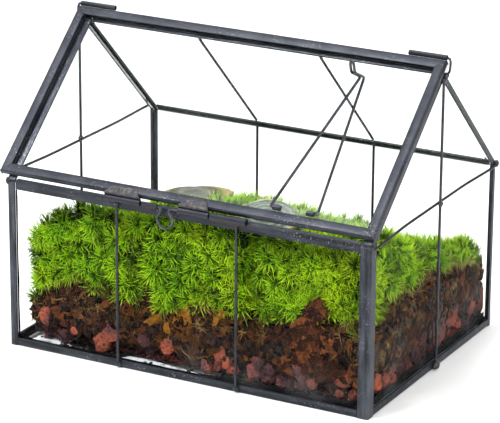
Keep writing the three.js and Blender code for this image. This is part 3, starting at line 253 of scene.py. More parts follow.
def glass_material(name, haze=None, ior=1.06):
    """Clear glass that lets the lamps through. haze gives the share of mist on it from the shader."""
    shader = Shader(name, Roughness=0.0, IOR=ior)
    shader.bsdf.inputs["Transmission Weight"].default_value = 1.0
    shader.bsdf.inputs["Base Color"].default_value = (0.985, 0.995, 0.99, 1)
    if haze:
        mist = haze(shader)
        shader.set("Base Color", shader.mix(mist, (0.985, 0.995, 0.99), (0.60, 0.60, 0.66)))
        shader.set("Transmission Weight", shader.span(mist, 0.0, 1.0, 1.0, 0.0))
    path = shader.node("LightPath")
    unseen = shader.math("MAXIMUM", path.outputs["Is Shadow Ray"], path.outputs["Is Diffuse Ray"])
    clear = shader.node("BsdfTransparent")
    blend = shader.node("MixShader")
    shader.feed(blend.inputs[0], unseen)
    shader.feed(blend.inputs[1], shader.bsdf.outputs[0])
    shader.feed(blend.inputs[2], clear.outputs[0])
    shader.feed(shader.tree.nodes["Material Output"].inputs["Surface"], blend.outputs[0])
    return shader.material


def foot_haze(full, none, scale, start, share):
    """Patches of mist along a pane's foot, from the height where it is full to the height where it ends."""
    def haze(shader):
        low = shader.span(shader.axis("Z"), full, none, 1.0, 0.0)
        patchy = shader.ramp(shader.noise(scale, 6, 0.6), [(start, (0, 0, 0)), (start + 0.24, (1, 1, 1))])
        return shader.math("MULTIPLY", shader.math("MULTIPLY", low, patchy), share)

    return haze


def lid_haze(shader):
    low = shader.span(shader.axis("Z"), 0.121, 0.129, 1.0, 0.0)
    middle = shader.span(shader.axis("X"), 0.0, 0.04)
    patchy = shader.ramp(shader.noise(34, 5), [(0.35, (0.3, 0.3, 0.3)), (0.62, (1, 1, 1))])
    misted = shader.math("MULTIPLY", shader.math("MULTIPLY", low, middle), patchy)
    return shader.math("MULTIPLY", misted, 0.12)


def moss_material():
    shader = Shader("moss", Roughness=0.55, Specular_IOR_Level=0.1)
    # Darker towards the root: partly the moss's own older stems, partly painted shade deep between the
    # leaves.
    along = shader.ramp(shader.attribute("tip"), [
        (0.0, (0.008, 0.013, 0.001)),
        (0.35, (0.040, 0.100, 0.001)),
        (0.75, (0.27, 0.53, 0.003)),
        (1.0, (0.68, 0.93, 0.022)),
    ])
    tone = shader.attribute("tone")
    deep = shader.mix(1.0, along, (0.50, 0.70, 0.5), "MULTIPLY")
    varied = shader.mix(shader.span(tone, 0.15, 0.9), along, deep)
    patch = shader.ramp(shader.noise(30, 3), [(0.45, (0, 0, 0)), (0.7, (1, 1, 1))])
    yellow = shader.mix(1.0, along, (1.45, 1.12, 0.9), "MULTIPLY")
    varied = shader.mix(shader.math("MULTIPLY", patch, 0.7), varied, yellow)
    clumps = shader.ramp(shader.noise(70, 3), [(0.34, (0.50, 0.56, 0.5)), (0.54, (1.12, 1.12, 1.12))])
    varied = shader.mix(1.0, varied, clumps, "MULTIPLY")
    straw = shader.mix(tone, (0.30, 0.19, 0.075), (0.12, 0.065, 0.022))
    ripe = shader.math("ADD", shader.attribute("low"), shader.math("MULTIPLY", tone, 0.3), clamp=True)
    shader.set("Base Color", shader.mix(shader.span(ripe, 0.2, 0.75), straw, varied))
    return shader.material


def moss_core_material():
    shader = Shader("moss_core", Roughness=0.95, Specular_IOR_Level=0.1)
    green = shader.ramp(shader.noise(320, 5), [(0.35, (0.006, 0.012, 0.002)), (0.7, (0.025, 0.055, 0.005))])
    brown = shader.ramp(shader.noise(320, 5), [(0.35, (0.025, 0.014, 0.006)), (0.7, (0.11, 0.06, 0.02))])
    shader.set("Base Color", shader.mix(shader.span(shader.attribute("low"), 0.25, 0.7), brown, green))
    shader.bump(shader.noise(600, 5), 0.0012, 1.0)
    return shader.material


def peat_material():
    shader = Shader("peat", Roughness=0.9, Specular_IOR_Level=0.2)
    fine = shader.noise(260, 6, 0.65)
    earth = shader.ramp(fine, [
        (0.32, (0.003, 0.002, 0.002)),
        (0.54, (0.009, 0.005, 0.004)),
        (0.70, (0.030, 0.013, 0.007)),
        (0.86, (0.09, 0.036, 0.012)),
    ])
    rusty = shader.ramp(shader.noise(42, 4), [(0.5, (0, 0, 0)), (0.66, (1, 1, 1))])
    earth = shader.mix(shader.math("MULTIPLY", rusty, 0.5), earth, (0.085, 0.026, 0.006))
    shader.set("Base Color", earth)
    shader.set("Roughness", shader.span(fine, 0.3, 0.7, 0.75, 0.4))
    shader.bump(fine, 0.002, 1.0)
    shader.bump(shader.noise(90, 5), 0.004, 0.8)
    return shader.material


def crumb_material(name, stops):
    shader = Shader(name, Roughness=0.85, Specular_IOR_Level=0.08)
    tint = shader.ramp(shader.attribute("tone"), stops)
    grain = shader.ramp(shader.noise(500, 4), [(0.3, (0.45, 0.45, 0.45)), (0.7, (1.35, 1.3, 1.25))])
    shader.set("Base Color", shader.mix(1.0, tint, grain, "MULTIPLY"))
    shader.bump(shader.noise(800, 4), 0.0006, 0.8)
    return shader.material


def lava_material():
    shader = Shader("lava", Roughness=0.95, Specular_IOR_Level=0.2)
    tint = shader.ramp(shader.noise(44, 2, 0.35), [
        (0.36, (0.050, 0.022, 0.024)),
        (0.47, (0.12, 0.040, 0.034)),
        (0.57, (0.27, 0.066, 0.032)),
        (0.68, (0.13, 0.048, 0.042)),
    ])
    tone = shader.ramp(shader.attribute("tone"), [
        (0.0, (0.55, 0.5, 0.6)),
        (0.5, (1.0, 1.0, 1.0)),
        (1.0, (1.5, 1.25, 1.05)),
    ])
    tint = shader.mix(1.0, tint, tone, "MULTIPLY")
    # Darker in the pits: painted shade in the hollows that the same cells bump in.
    pit_shade = shader.ramp(shader.cells(420), [(0.1, (0.35, 0.3, 0.3)), (0.42, (1, 1, 1))])
    shader.set("Base Color", shader.mix(1.0, tint, pit_shade, "MULTIPLY"))
    shader.bump(shader.cells(420), 0.0012, 1.0)
    shader.bump(shader.noise(260, 5), 0.001, 0.8)
    return shader.material


def bark_material():
    shader = Shader("bark", Roughness=0.9, Specular_IOR_Level=0.1)
    grain = shader.noise(110, 6, 0.6, stretch=(1.0, 1.0, 0.22))
    shader.set("Base Color", shader.ramp(grain, [
        (0.36, (0.006, 0.003, 0.002)),
        (0.52, (0.022, 0.008, 0.004)),
        (0.7, (0.11, 0.034, 0.012)),
    ]))
    shader.bump(grain, 0.002, 1.0)
    return shader.material


def fungus_material(name, ringed):
    """Zones by the distance from the middle, which is in the piece's own attribute."""
    shader = Shader(name, Roughness=0.8, Specular_IOR_Level=0.25)
    outward = shader.attribute("outward")
    wobble = shader.math("MULTIPLY", shader.noise(90, 4), 0.16)
    zone = shader.math("ADD", outward, wobble)
    if ringed:
        bands = shader.math("FRACT", shader.math("MULTIPLY", zone, 5.5))
        tint = shader.ramp(bands, [
            (0.0, (0.060, 0.085, 0.070)),
            (0.35, (0.20, 0.25, 0.20)),
            (0.7, (0.10, 0.115, 0.085)),
            (1.0, (0.060, 0.085, 0.070)),
        ])
        rim = shader.span(outward, 0.9, 0.97)
        tint = shader.mix(rim, tint, (0.52, 0.45, 0.24))
    else:
        tint = shader.ramp(zone, [
            (0.1, (0.085, 0.090, 0.075)),
            (0.5, (0.16, 0.165, 0.135)),
            (0.8, (0.085, 0.080, 0.050)),
            (1.0, (0.30, 0.25, 0.11)),
        ])
    under = shader.span(shader.axis("Z", "Normal"), -0.15, 0.1, 1.0, 0.0)
    tint = shader.mix(under, tint, (0.36, 0.27, 0.15))
    mottle = shader.ramp(shader.noise(380, 4), [(0.3, (0.7, 0.7, 0.7)), (0.7, (1.2, 1.2, 1.2))])
    shader.set("Base Color", shader.mix(1.0, tint, mottle, "MULTIPLY"))
    shader.bump(shader.noise(420, 5), 0.0008, 0.8)
    return shader.material


def floor_material():
    shader = Shader("floor", Roughness=0.85)
    pale = [(0.3, (0.93, 0.93, 0.93)), (0.7, (0.96, 0.96, 0.96))]
    shader.set("Base Color", shader.ramp(shader.noise(3, 2), pale))
    return shader.material


# The directions up the front and the back slope of the roof.
SLOPE = (0, 0.756, 0.655)
BACK_SLOPE = (0, -0.721, 0.693)

# Metal strip: the dark and the light of its streaks, and the painted light and shade of faces that look up.
CAME_TONES = ((0.015, 0.017, 0.021), (0.062, 0.069, 0.083), (0.078, 0.083, 0.100))
CAME = came_material("came", *CAME_TONES)
POST_TONES = ((0.019, 0.021, 0.026), (0.105, 0.115, 0.135), (0.078, 0.083, 0.100))
CAME_UP = came_material("came_up", *POST_TONES, axis=(0, 0, 1))
CAME_SLOPE = came_material("came_slope", *CAME_TONES, axis=SLOPE)
# The back strips are seen from inside the case through the glass: darker, duller copies of the strip, painted
# shade.
SHADED_BACK_TONES = ((0.016, 0.020, 0.024), (0.042, 0.050, 0.054), (0.042, 0.050, 0.054))
SHADED_BACK_CAME = came_material("came_back", *SHADED_BACK_TONES, metallic=0.1)
SHADED_BACK_SLOPE_CAME = came_material("came_back_slope", *SHADED_BACK_TONES, axis=BACK_SLOPE, metallic=0.1)
WIRE = wire_material("bar_wire", (0.030, 0.032, 0.037))
STEEL = wire_material("steel_wire", (0.055, 0.058, 0.068))
LATCH_TUBES = solder_material("latch_tubes", on_tubes=True)
SOLDER = solder_material("solder")
GLASS = glass_material("glass")
MOSS = moss_material()
MOSS_CORE = moss_core_material()
PEAT = peat_material()
CRUMBS = crumb_material("crumbs", [
    (0.0, (0.003, 0.003, 0.003)),
    (0.65, (0.012, 0.006, 0.005)),
    (0.88, (0.045, 0.017, 0.007)),
    (1.0, (0.13, 0.05, 0.014)),
])
FLAKES = crumb_material("flakes", [
    (0.0, (0.012, 0.006, 0.004)),
    (0.6, (0.038, 0.013, 0.006)),
    (1.0, (0.145, 0.045, 0.012)),
])
FIBRES = crumb_material("fibres", [
    (0.0, (0.04, 0.018, 0.008)),
    (0.7, (0.20, 0.085, 0.022)),
    (1.0, (0.46, 0.27, 0.085)),
])
GOLDEN = crumb_material("golden_fibre", [
    (0.0, (0.014, 0.006, 0.002)),
    (0.6, (0.070, 0.026, 0.004)),
    (1.0, (0.25, 0.105, 0.012)),
])
STRAW = crumb_material("straw", [
    (0.0, (0.045, 0.024, 0.008)),
    (0.6, (0.12, 0.070, 0.020)),
    (1.0, (0.33, 0.21, 0.075)),
])
GRIT = crumb_material("grit", [
    (0.0, (0.004, 0.004, 0.004)),
    (0.8, (0.012, 0.010, 0.010)),
    (1.0, (0.06, 0.05, 0.045)),
])
LAVA = lava_material()
BARK = bark_material()

# ---- Meshes -------------------------------------------------------------------------------------------


def object_of(mesh, name):
    made = bpy.data.objects.new(name, mesh)
    bpy.context.collection.objects.link(made)
    return made


def mesh_of(name, vertices, faces):
    mesh = bpy.data.meshes.new(name)
    mesh.from_pydata(vertices, [], faces)
    return mesh


def paint(mesh, material):
    mesh.materials.clear()
    mesh.materials.append(material)


def evaluated(obj, name):
    """The mesh that an object's modifiers make. The object itself is removed."""
    graph = bpy.context.evaluated_depsgraph_get()
    shown = obj.evaluated_get(graph)
    mesh = bpy.data.meshes.new_from_object(shown, preserve_all_data_layers=True, depsgraph=graph)
    mesh.name = name
    bpy.data.objects.remove(obj)
    return mesh


def coordinates(mesh):
    flat = np.empty(len(mesh.vertices) * 3)
    mesh.vertices.foreach_get("co", flat)
    return flat.reshape(-1, 3)


def normals(mesh):
    flat = np.empty(len(mesh.vertices) * 3)
    mesh.vertex_normals.foreach_get("vector", flat)
    return flat.reshape(-1, 3)


def move_to(mesh, points):
    mesh.vertices.foreach_set("co", points.reshape(-1))
    mesh.update()


def point_values(mesh, name, values):
    held = mesh.attributes.get(name) or mesh.attributes.new(name, "FLOAT", "POINT")
    held.data.foreach_set("value", np.asarray(values, dtype=np.float32))


def turn_outwards(mesh):
    shape = bmesh.new()
    shape.from_mesh(mesh)
    bmesh.ops.recalc_face_normals(shape, faces=shape.faces)
    shape.to_mesh(mesh)
    shape.free()


def own_copy(node):
    """A copy of a CAD node's mesh without its stored normals."""
    mesh = NODES[node].data.copy()
    stored = mesh.attributes.get("custom_normal")
    if stored:
        mesh.attributes.remove(stored)
    return mesh


def shade(mesh, angle=32):
    mesh.polygons.foreach_set("use_smooth", [True] * len(mesh.polygons))
    mesh.set_sharp_from_angle(angle=math.radians(angle))


def rounded_copy(node, width):
    """A CAD node's shape with its edges eased."""
    holder = object_of(own_copy(node), "holder")
    weld = holder.modifiers.new("weld", "WELD")
    weld.merge_threshold = 1e-6
    bevel = holder.modifiers.new("bevel", "BEVEL")
    bevel.width = width
    bevel.segments = 2
    bevel.limit_method = "ANGLE"
    bevel.angle_limit = math.radians(28)
    bevel.harden_normals = False
    mesh = evaluated(holder, node + "_eased")
    shade(mesh)
    return mesh


def remeshed(node, voxel, smoothing):
    holder = object_of(own_copy(node), "holder")
    remesh = holder.modifiers.new("remesh", "REMESH")
    remesh.mode = "VOXEL"
    remesh.voxel_size = voxel
    remesh.use_smooth_shade = True
    smooth = holder.modifiers.new("smooth", "SMOOTH")
    smooth.factor = 0.5
    smooth.iterations = smoothing
    return evaluated(holder, node + "_core")


def roughen(mesh, strength, size, seed):
    """Moves the surface in and out by a seeded noise."""
    points = coordinates(mesh)
    away = normals(mesh)
    offset = Vector((seed * 7.1, seed * 3.3, seed * 1.7))
    heights = [noise.fractal(Vector(p) / size + offset, 1.0, 2.0, 4) for p in points]
    move_to(mesh, points + away * (np.array(heights) * strength)[:, None])


# Half the room between the panes, the top of the base pane, and the air left between planting and glass.
INNER_X = 0.1262
INNER_Y = 0.0892
BASE_TOP = 0.0038
GLASS_MARGIN = 0.0004


def press_to_glass(mesh, depth):
    """Lays whatever would pass through the glass flat along it."""
    points = coordinates(mesh)
    for axis, limit in ((0, INNER_X - GLASS_MARGIN), (1, INNER_Y - GLASS_MARGIN)):
        value = points[:, axis] - CASE_SHIFT[axis]
        start = limit - depth
        over = np.maximum(np.abs(value) - start, 0)
        points[:, axis] += np.sign(value) * (depth * np.tanh(over / depth) - over)
    points[:, 2] = np.maximum(points[:, 2], BASE_TOP + GLASS_MARGIN)
    move_to(mesh, points)


# ---- The heights that the CAD model's planting follows ------------------------------------------------


def case_place(points):
    """x and y in case millimetres of points in metres."""
    return points[:, 0] / MM - CASE_SHIFT_MM, points[:, 1] / MM - CASE_SHIFT_MM


def step(a, b, v):
    """0 at a, 1 at b and smooth between them."""
    t = np.clip((v - a) / (b - a), 0, 1)
    return t * t * (3 - 2 * t)


def in_back_corner(x, y):
    """1 in the right back corner, falling to 0 away from it."""
    return np.exp(-(((x - 126.2) / 32) ** 2) - ((y - 89.2) / 28) ** 2)


def moss_height(x, y):
    """The moss's surface in millimetres, at case coordinates in millimetres."""
    behind = y + 58
    rightward = step(-3, 31, x)
    fall_behind = (0.3 + 0.07 * rightward) * behind + 0.0008 * (1 - rightward) * behind**2
    fall = np.where(behind > 0, fall_behind, 0.0065 * behind**2)
    crest = 113 - 2.4 * rightward - 5 * step(20, 110, x)
    left = 51 + 58 * np.exp(-(y + 89.2) / 100)
    share = step(-62, -20, x)
    slope = left * (1 - share) + (crest - fall) * share
    knoll = 2.8 * np.exp(-(((x - 118) / 26) ** 2) - ((y + 46) / 26) ** 2) + 3.5 * in_back_corner(x, y)
    dip = 5 * np.exp(-(((x + 6) / 16) ** 2) - ((y + 70) / 30) ** 2)
    waves = 2.6 * np.sin(x / 17 + 0.6) + 2.2 * np.sin(y / 15 + x / 31)
    t = np.clip((-60 - x) / 58, 0, 1)
    return slope + knoll - dip + waves - 36 * (1 - np.sqrt(1 - 0.98 * t * t))


def soil_height(x, y):
    """The peat's surface in metres, at case coordinates in millimetres."""
    front = 30 + 2.5 * np.sin(x / 16 + 0.4) + 1.5 * np.sin(x / 7 + 1) + 13 * step(48, 72, x)
    side = 43 + 6 * np.exp(-(((y - 5) / 38) ** 2)) + 1.8 * np.sin(y / 8)
    rear = 40 + 3 * np.sin(x / 14)
    left = 26 + 3 * np.sin(y / 10)
    lowest = np.minimum(front + 1.5 * (y + 89.2), side + 1.5 * (126.2 - x))
    lowest = np.minimum(lowest, rear + 1.5 * (89.2 - y))
    lowest = np.minimum(lowest, left + 1.5 * np.maximum(0, x + 117))
    return (np.minimum(lowest, moss_height(x, y) - 16) - 3 * in_back_corner(x, y)) * MM


# Along the right pane the moss has dried to straw below a line: y and z in case millimetres.
STRAW_LINE_Y = [-89, -79, -61, -34, -10, 8, 27, 50, 64, 89]
STRAW_LINE_Z = [38, 42, 50, 61, 60, 67, 51, 47, 47, 44]


def above_straw(points):
    """0 in the straw by the right pane, rising to 1 over it and away from the pane."""
    x, y = case_place(points)
    line = np.interp(y, STRAW_LINE_Y, STRAW_LINE_Z)
    over = np.clip((points[:, 2] / MM - line + 3) / 8, 0, 1)
    return np.maximum(over, np.clip((116 - x) / 8, 0, 1))


def above_soil(points):
    x, y = case_place(points)
    return points[:, 2] - soil_height(x, y)


# ---- Scattering ---------------------------------------------------------------------------------------


def strip_cluster(name, count, lengths, width, spread, seed, droop, segments=2):
    """A tuft of slim pointed leaves that leave one root and bend outwards."""
    rng = random.Random(seed)
    vertices = []
    faces = []
    tips = []
    for k in range(count):
        angle = 2 * math.pi * (k * 0.618 + 0.08 * rng.random())
        lean = math.radians(rng.uniform(*spread))
        length = rng.uniform(*lengths)
        out = Vector((math.cos(angle), math.sin(angle), 0))
        side = Vector((-out.y, out.x, 0))
        rise = rng.uniform(0.0, 0.35) * lengths[0]
        first = len(vertices)
        for j in range(segments + 1):
            t = j / segments
            bend = lean + droop * t
            along = out * math.sin(bend) + Vector((0, 0, math.cos(bend)))
            centre = Vector((0, 0, rise)) + along * length * t
            half = width * 0.5 * (1 - t * t)
            if j == segments:
                vertices.append(centre)
                tips.append(1.0)
            else:
                vertices += [centre - side * half, centre + side * half]
                tips += [t, t]
        for j in range(segments - 1):
            a = first + 2 * j
            faces.append((a, a + 1, a + 3, a + 2))
        a = first + 2 * (segments - 1)
        faces.append((a, a + 1, a + 2))
    mesh = mesh_of(name, vertices, faces)
    point_values(mesh, "tip", tips)
    return object_of(mesh, name)


def lump(name, size, seed, dents, subdivisions=1):
    """A small broken lump, or a bead where its dents are slight."""
    rng = random.Random(seed)
    mesh = bpy.data.meshes.new(name)
    shape = bmesh.new()
    bmesh.ops.create_icosphere(shape, subdivisions=subdivisions, radius=1)
    offset = Vector((rng.uniform(0, 50), rng.uniform(0, 50), rng.uniform(0, 50)))
    for vertex in shape.verts:
        broad = noise.noise(vertex.co * 1.1 + offset)
        fine = noise.noise(vertex.co * 2.9 + offset)
        vertex.co *= 1 + dents * (broad + 0.55 * fine)
        vertex.co = Vector(vertex.co[i] * size[i] for i in range(3))
    shape.to_mesh(mesh)
    shape.free()
    point_values(mesh, "tip", [1.0] * len(mesh.vertices))
    return object_of(mesh, name)


def fibre(name, length, width, seed):
    """A thin root, lying along the surface and curling off it."""
    rng = random.Random(seed)
    vertices = []
    faces = []
    steps = 6
    heading = 0.0
    centre = Vector((0, 0, 0.0006))
    for j in range(steps + 1):
        heading += rng.uniform(-0.6, 0.6)
        out = Vector((math.cos(heading), math.sin(heading), rng.uniform(-0.15, 0.28)))
        side = Vector((-out.y, out.x, 0)).normalized() * width * 0.5
        lift = Vector((0, 0, width * 0.5))
        vertices += [centre - side, centre + lift, centre + side]
        if j:
            a = 3 * j
            faces += [(a - 3, a - 2, a + 1, a), (a - 2, a - 1, a + 2, a + 1)]
        centre = centre + out * length / steps
    mesh = mesh_of(name, vertices, faces)
    point_values(mesh, "tip", [1.0] * len(vertices))
    return object_of(mesh, name)


def scatter(
    base, shape, material, *, density, seed, scale, wander, follow=1.0, upward=0.0, base_material=None,
):
    """Shapes spread over a base by its cover attribute, with the base itself where base_material is given."""
    group = bpy.data.node_groups.new("scatter", "GeometryNodeTree")
    group.interface.new_socket("Geometry", in_out="INPUT", socket_type="NodeSocketGeometry")
    controls = {
        "Shape": ("NodeSocketObject", shape),
        "Density": ("NodeSocketFloat", float(density)),
        "Seed": ("NodeSocketInt", seed),
        "Smallest": ("NodeSocketFloat", scale[0]),
        "Largest": ("NodeSocketFloat", scale[1]),
        "Follow": ("NodeSocketFloat", follow),
        "Upward": ("NodeSocketFloat", upward),
        "Wander": ("NodeSocketFloat", wander),
    }
    sockets = {}
    for name, (kind, _) in controls.items():
        sockets[name] = group.interface.new_socket(name, in_out="INPUT", socket_type=kind).identifier
    group.interface.new_socket("Geometry", in_out="OUTPUT", socket_type="NodeSocketGeometry")

    def node(kind, **properties):
        made = group.nodes.new(kind)
        for key, value in properties.items():
            setattr(made, key, value)
        return made

    def link(a, b):
        group.links.new(a, b)

    source = node("NodeGroupInput")
    spread = node("GeometryNodeDistributePointsOnFaces", distribute_method="RANDOM")
    cover = node("GeometryNodeInputNamedAttribute", data_type="FLOAT")
    cover.inputs["Name"].default_value = "cover"
    amount = node("ShaderNodeMath", operation="MULTIPLY")
    link(source.outputs["Density"], amount.inputs[0])
    link(cover.outputs["Attribute"], amount.inputs[1])
    link(source.outputs["Geometry"], spread.inputs["Mesh"])
    link(amount.outputs[0], spread.inputs["Density"])
    link(source.outputs["Seed"], spread.inputs["Seed"])

    jitter = node("FunctionNodeRandomValue", data_type="FLOAT_VECTOR")
    jitter.inputs[0].default_value = (-1, -1, -1)
    jitter.inputs[1].default_value = (1, 1, 1)
    link(source.outputs["Seed"], jitter.inputs["Seed"])
    straying = node("ShaderNodeVectorMath", operation="SCALE")
    link(jitter.outputs[0], straying.inputs[0])
    link(source.outputs["Wander"], straying.inputs["Scale"])
    along = node("ShaderNodeVectorMath", operation="SCALE")
    link(spread.outputs["Normal"], along.inputs[0])
    link(source.outputs["Follow"], along.inputs["Scale"])
    rising = node("ShaderNodeCombineXYZ")
    link(source.outputs["Upward"], rising.inputs["Z"])
    first = node("ShaderNodeVectorMath", operation="ADD")
    link(along.outputs[0], first.inputs[0])
    link(rising.outputs[0], first.inputs[1])
    direction = node("ShaderNodeVectorMath", operation="ADD")
    link(first.outputs[0], direction.inputs[0])
    link(straying.outputs[0], direction.inputs[1])
    align = node("FunctionNodeAlignRotationToVector", axis="Z")
    link(direction.outputs[0], align.inputs["Vector"])
    turn = node("FunctionNodeRandomValue", data_type="FLOAT_VECTOR")
    turn.inputs[0].default_value = (0, 0, 0)
    turn.inputs[1].default_value = (0, 0, 2 * math.pi)
    link(source.outputs["Seed"], turn.inputs["Seed"])
    spin = node("FunctionNodeRotateRotation", rotation_space="LOCAL")
    link(align.outputs[0], spin.inputs[0])
    euler = node("FunctionNodeEulerToRotation")
    link(turn.outputs[0], euler.inputs[0])
    link(euler.outputs[0], spin.inputs[1])

    size = node("FunctionNodeRandomValue", data_type="FLOAT")
    link(source.outputs["Smallest"], size.inputs[2])
    link(source.outputs["Largest"], size.inputs[3])
    link(source.outputs["Seed"], size.inputs["Seed"])
    picked = node("GeometryNodeObjectInfo")
    link(source.outputs["Shape"], picked.inputs[0])
    placed = node("GeometryNodeInstanceOnPoints")
    link(spread.outputs["Points"], placed.inputs["Points"])
    link(picked.outputs["Geometry"], placed.inputs["Instance"])
    link(spin.outputs[0], placed.inputs["Rotation"])
    link(size.outputs[1], placed.inputs["Scale"])

    tone = node("FunctionNodeRandomValue", data_type="FLOAT")
    tone.inputs["Seed"].default_value = 77
    kept = node("GeometryNodeStoreNamedAttribute", data_type="FLOAT", domain="INSTANCE")
    kept.inputs["Name"].default_value = "tone"
    link(placed.outputs[0], kept.inputs["Geometry"])
    link(tone.outputs[1], kept.inputs["Value"])
    real = node("GeometryNodeRealizeInstances")
    link(kept.outputs[0], real.inputs[0])
    painted = node("GeometryNodeSetMaterial")
    painted.inputs["Material"].default_value = material
    link(real.outputs[0], painted.inputs["Geometry"])
    result = painted.outputs[0]
    if base_material:
        under = node("GeometryNodeSetMaterial")
        under.inputs["Material"].default_value = base_material
        link(source.outputs["Geometry"], under.inputs["Geometry"])
        both = node("GeometryNodeJoinGeometry")
        link(under.outputs[0], both.inputs[0])
        link(painted.outputs[0], both.inputs[0])
        result = both.outputs[0]
    sink = node("NodeGroupOutput")
    link(result, sink.inputs[0])

    holder = object_of(base.copy(), "holder")
    modifier = holder.modifiers.new("scatter", "NODES")
    modifier.node_group = group
    for name, (_, value) in controls.items():
        modifier[sockets[name]] = value
    return evaluated(holder, base.name)


def joined(meshes, name):
    """Several meshes as one, with their materials and attributes."""
    holders = [object_of(mesh, name) for mesh in meshes]
    with bpy.context.temp_override(
        active_object=holders[0],
        object=holders[0],
        selected_objects=holders,
        selected_editable_objects=holders,
    ):
        bpy.ops.object.join()
    return holders[0]


def tree_of(points):
    tree = kdtree.KDTree(len(points))
    for i, point in enumerate(points):
        tree.insert(point, i)
    tree.balance()
    return tree


# ---- Metal and glass ----------------------------------------------------------------------------------

STRIP_EDGE_ROUND = 0.00035
STRIPS = {
    "case": [
        "post_front_left", "post_front_right", "post_back_left", "post_back_right",
        "base_rail_front", "base_rail_back", "base_rail_left", "base_rail_right",
        "rafter_front_left", "rafter_front_right", "rafter_back_left", "rafter_back_right",
        "eave_rail_front", "eave_rail_back", "ridge_rail",
    ],
    "lid": ["lid_rail_bottom", "lid_rail_top", "lid_stile_left", "lid_stile_right"],
}


def strip_material(name):
    if name.startswith("post"):
        return CAME_UP
    # The back rafters and the back eave rail take the shaded copies: painted shade.
    if name.startswith("rafter_back"):
        return SHADED_BACK_SLOPE_CAME
    if name.startswith(("rafter_front", "lid_stile")):
        return CAME_SLOPE
    return SHADED_BACK_CAME if name == "eave_rail_back" else CAME


for body, names in STRIPS.items():
    for node_name in names:
        mesh = rounded_copy(node_name, STRIP_EDGE_ROUND)
        paint(mesh, strip_material(node_name))
        strip = object_of(mesh, node_name + "_strip")
        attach(strip, body)
        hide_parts(node_name)


def dress(names, material):
    for name in names:
        paint(NODES[name].data, material)


dress([
    "front_bar_left", "front_bar_right", "back_bar_left", "back_bar_right", "roof_bar_left", "roof_bar_right",
    "gable_upright_left", "gable_upright_right", "gable_cross_left", "gable_cross_right",
], WIRE)
dress(["hinge_wire_left", "hinge_wire_right", "latch_pin", "lid_prop"], STEEL)
dress(["hinge_tube_left", "hinge_tube_right", "prop_sleeve_left", "prop_sleeve_right"], CAME)
dress([
    "lid_latch_tube_left", "lid_latch_tube_right", "case_latch_tube_small", "case_latch_tube_large",
], LATCH_TUBES)
dress(["pane_base", "pane_back", "pane_gable_left"], GLASS)
dress(["pane_roof_back"], glass_material("glass_roof", ior=1.01))
dress(["pane_gable_right"], glass_material("glass_gable", foot_haze(0.012, 0.048, 30, 0.46, 0.035), ior=1.03))
dress(["pane_front"], glass_material("glass_front", foot_haze(0.008, 0.032, 26, 0.5, 0.03)))
dress(["lid_pane"], glass_material("glass_lid", lid_haze))

# ---- Fungi --------------------------------------------------------------------------------------------

# Each bracket and whether it is ringed.
BRACKETS = {
    "bracket_fungus_flat": False,
    "bracket_fungus_ringed": True,
    "bracket_fungus_small": True,
}
FUNGUS_PLACES = []


def from_middle(points, middle, reach):
    """How far points are from a bracket's middle seen from above, with 1 at its rim."""
    return np.hypot((points[:, 0] - middle[0]) / reach[0], (points[:, 1] - middle[1]) / reach[1])


for node_name, ringed in BRACKETS.items():
    low, high = (np.array(corner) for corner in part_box(node_name))
    middle = (low + high) / 2
    reach = (high - low) / 2
    FUNGUS_PLACES.append((middle, reach))
    mesh = remeshed(node_name, voxel=0.0008, smoothing=2)
    roughen(mesh, strength=0.0006, size=0.008, seed=len(FUNGUS_PLACES))
    point_values(mesh, "outward", from_middle(coordinates(mesh), middle, reach))
    paint(mesh, fungus_material(node_name + "_skin", ringed))
    piece = object_of(mesh, node_name + "_piece")
    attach(piece, "case")
    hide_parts(node_name)

# ---- Moss ---------------------------------------------------------------------------------------------

CUSHIONS = ["moss_front_left", "moss_front_middle", "moss_front_right", "moss_back_left", "moss_back_right"]
star = strip_cluster(
    "star", count=42, lengths=(0.0078, 0.0115), width=0.00078, spread=(2, 74), seed=5, droop=0.42,
)
under = strip_cluster(
    "under", count=22, lengths=(0.0055, 0.0085), width=0.00080, spread=(5, 85), seed=6, droop=0.35,
)

# How far up a leaf's colours the undergrowth's tips reach; keeping them low is partly the lower leaves' own
# colour and partly painted shade under the upper tufts.
UNDER_TIP_SHADED = 0.62
point_values(under.data, "tip", [UNDER_TIP_SHADED * item.value for item in under.data.attributes["tip"].data])
cores = {name: remeshed(name, voxel=0.0027, smoothing=6) for name in CUSHIONS}
for core in cores.values():
    roughen(core, strength=0.0030, size=0.016, seed=1)
    away = normals(core)
    beside_glass = np.maximum(np.maximum(away[:, 0], -away[:, 1]), 0)
    beside_glass *= np.clip((0.070 - coordinates(core)[:, 1]) / 0.02, 0, 1)
    placed = coordinates(core)
    near_corner = in_back_corner(*case_place(placed))
    placed -= (0.0022 + 0.0030 * beside_glass)[:, None] * away
    placed += near_corner[:, None] * np.array([0.0065, 0.0035, 0.0])
    move_to(core, placed)
core_points = {name: coordinates(mesh) for name, mesh in cores.items()}


def facing_others(name, points, away, distance):
    """Where a cushion's surface looks at another cushion close by."""
    tree = tree_of([p for other, cloud in core_points.items() if other != name for p in cloud])
    found = []
    for point, normal in zip(points, away):
        nearest, _, gap = tree.find(point)
        towards = (nearest - Vector(point)).dot(Vector(normal))
        found.append(gap < distance and towards > 0.35 * gap)
    return np.array(found)


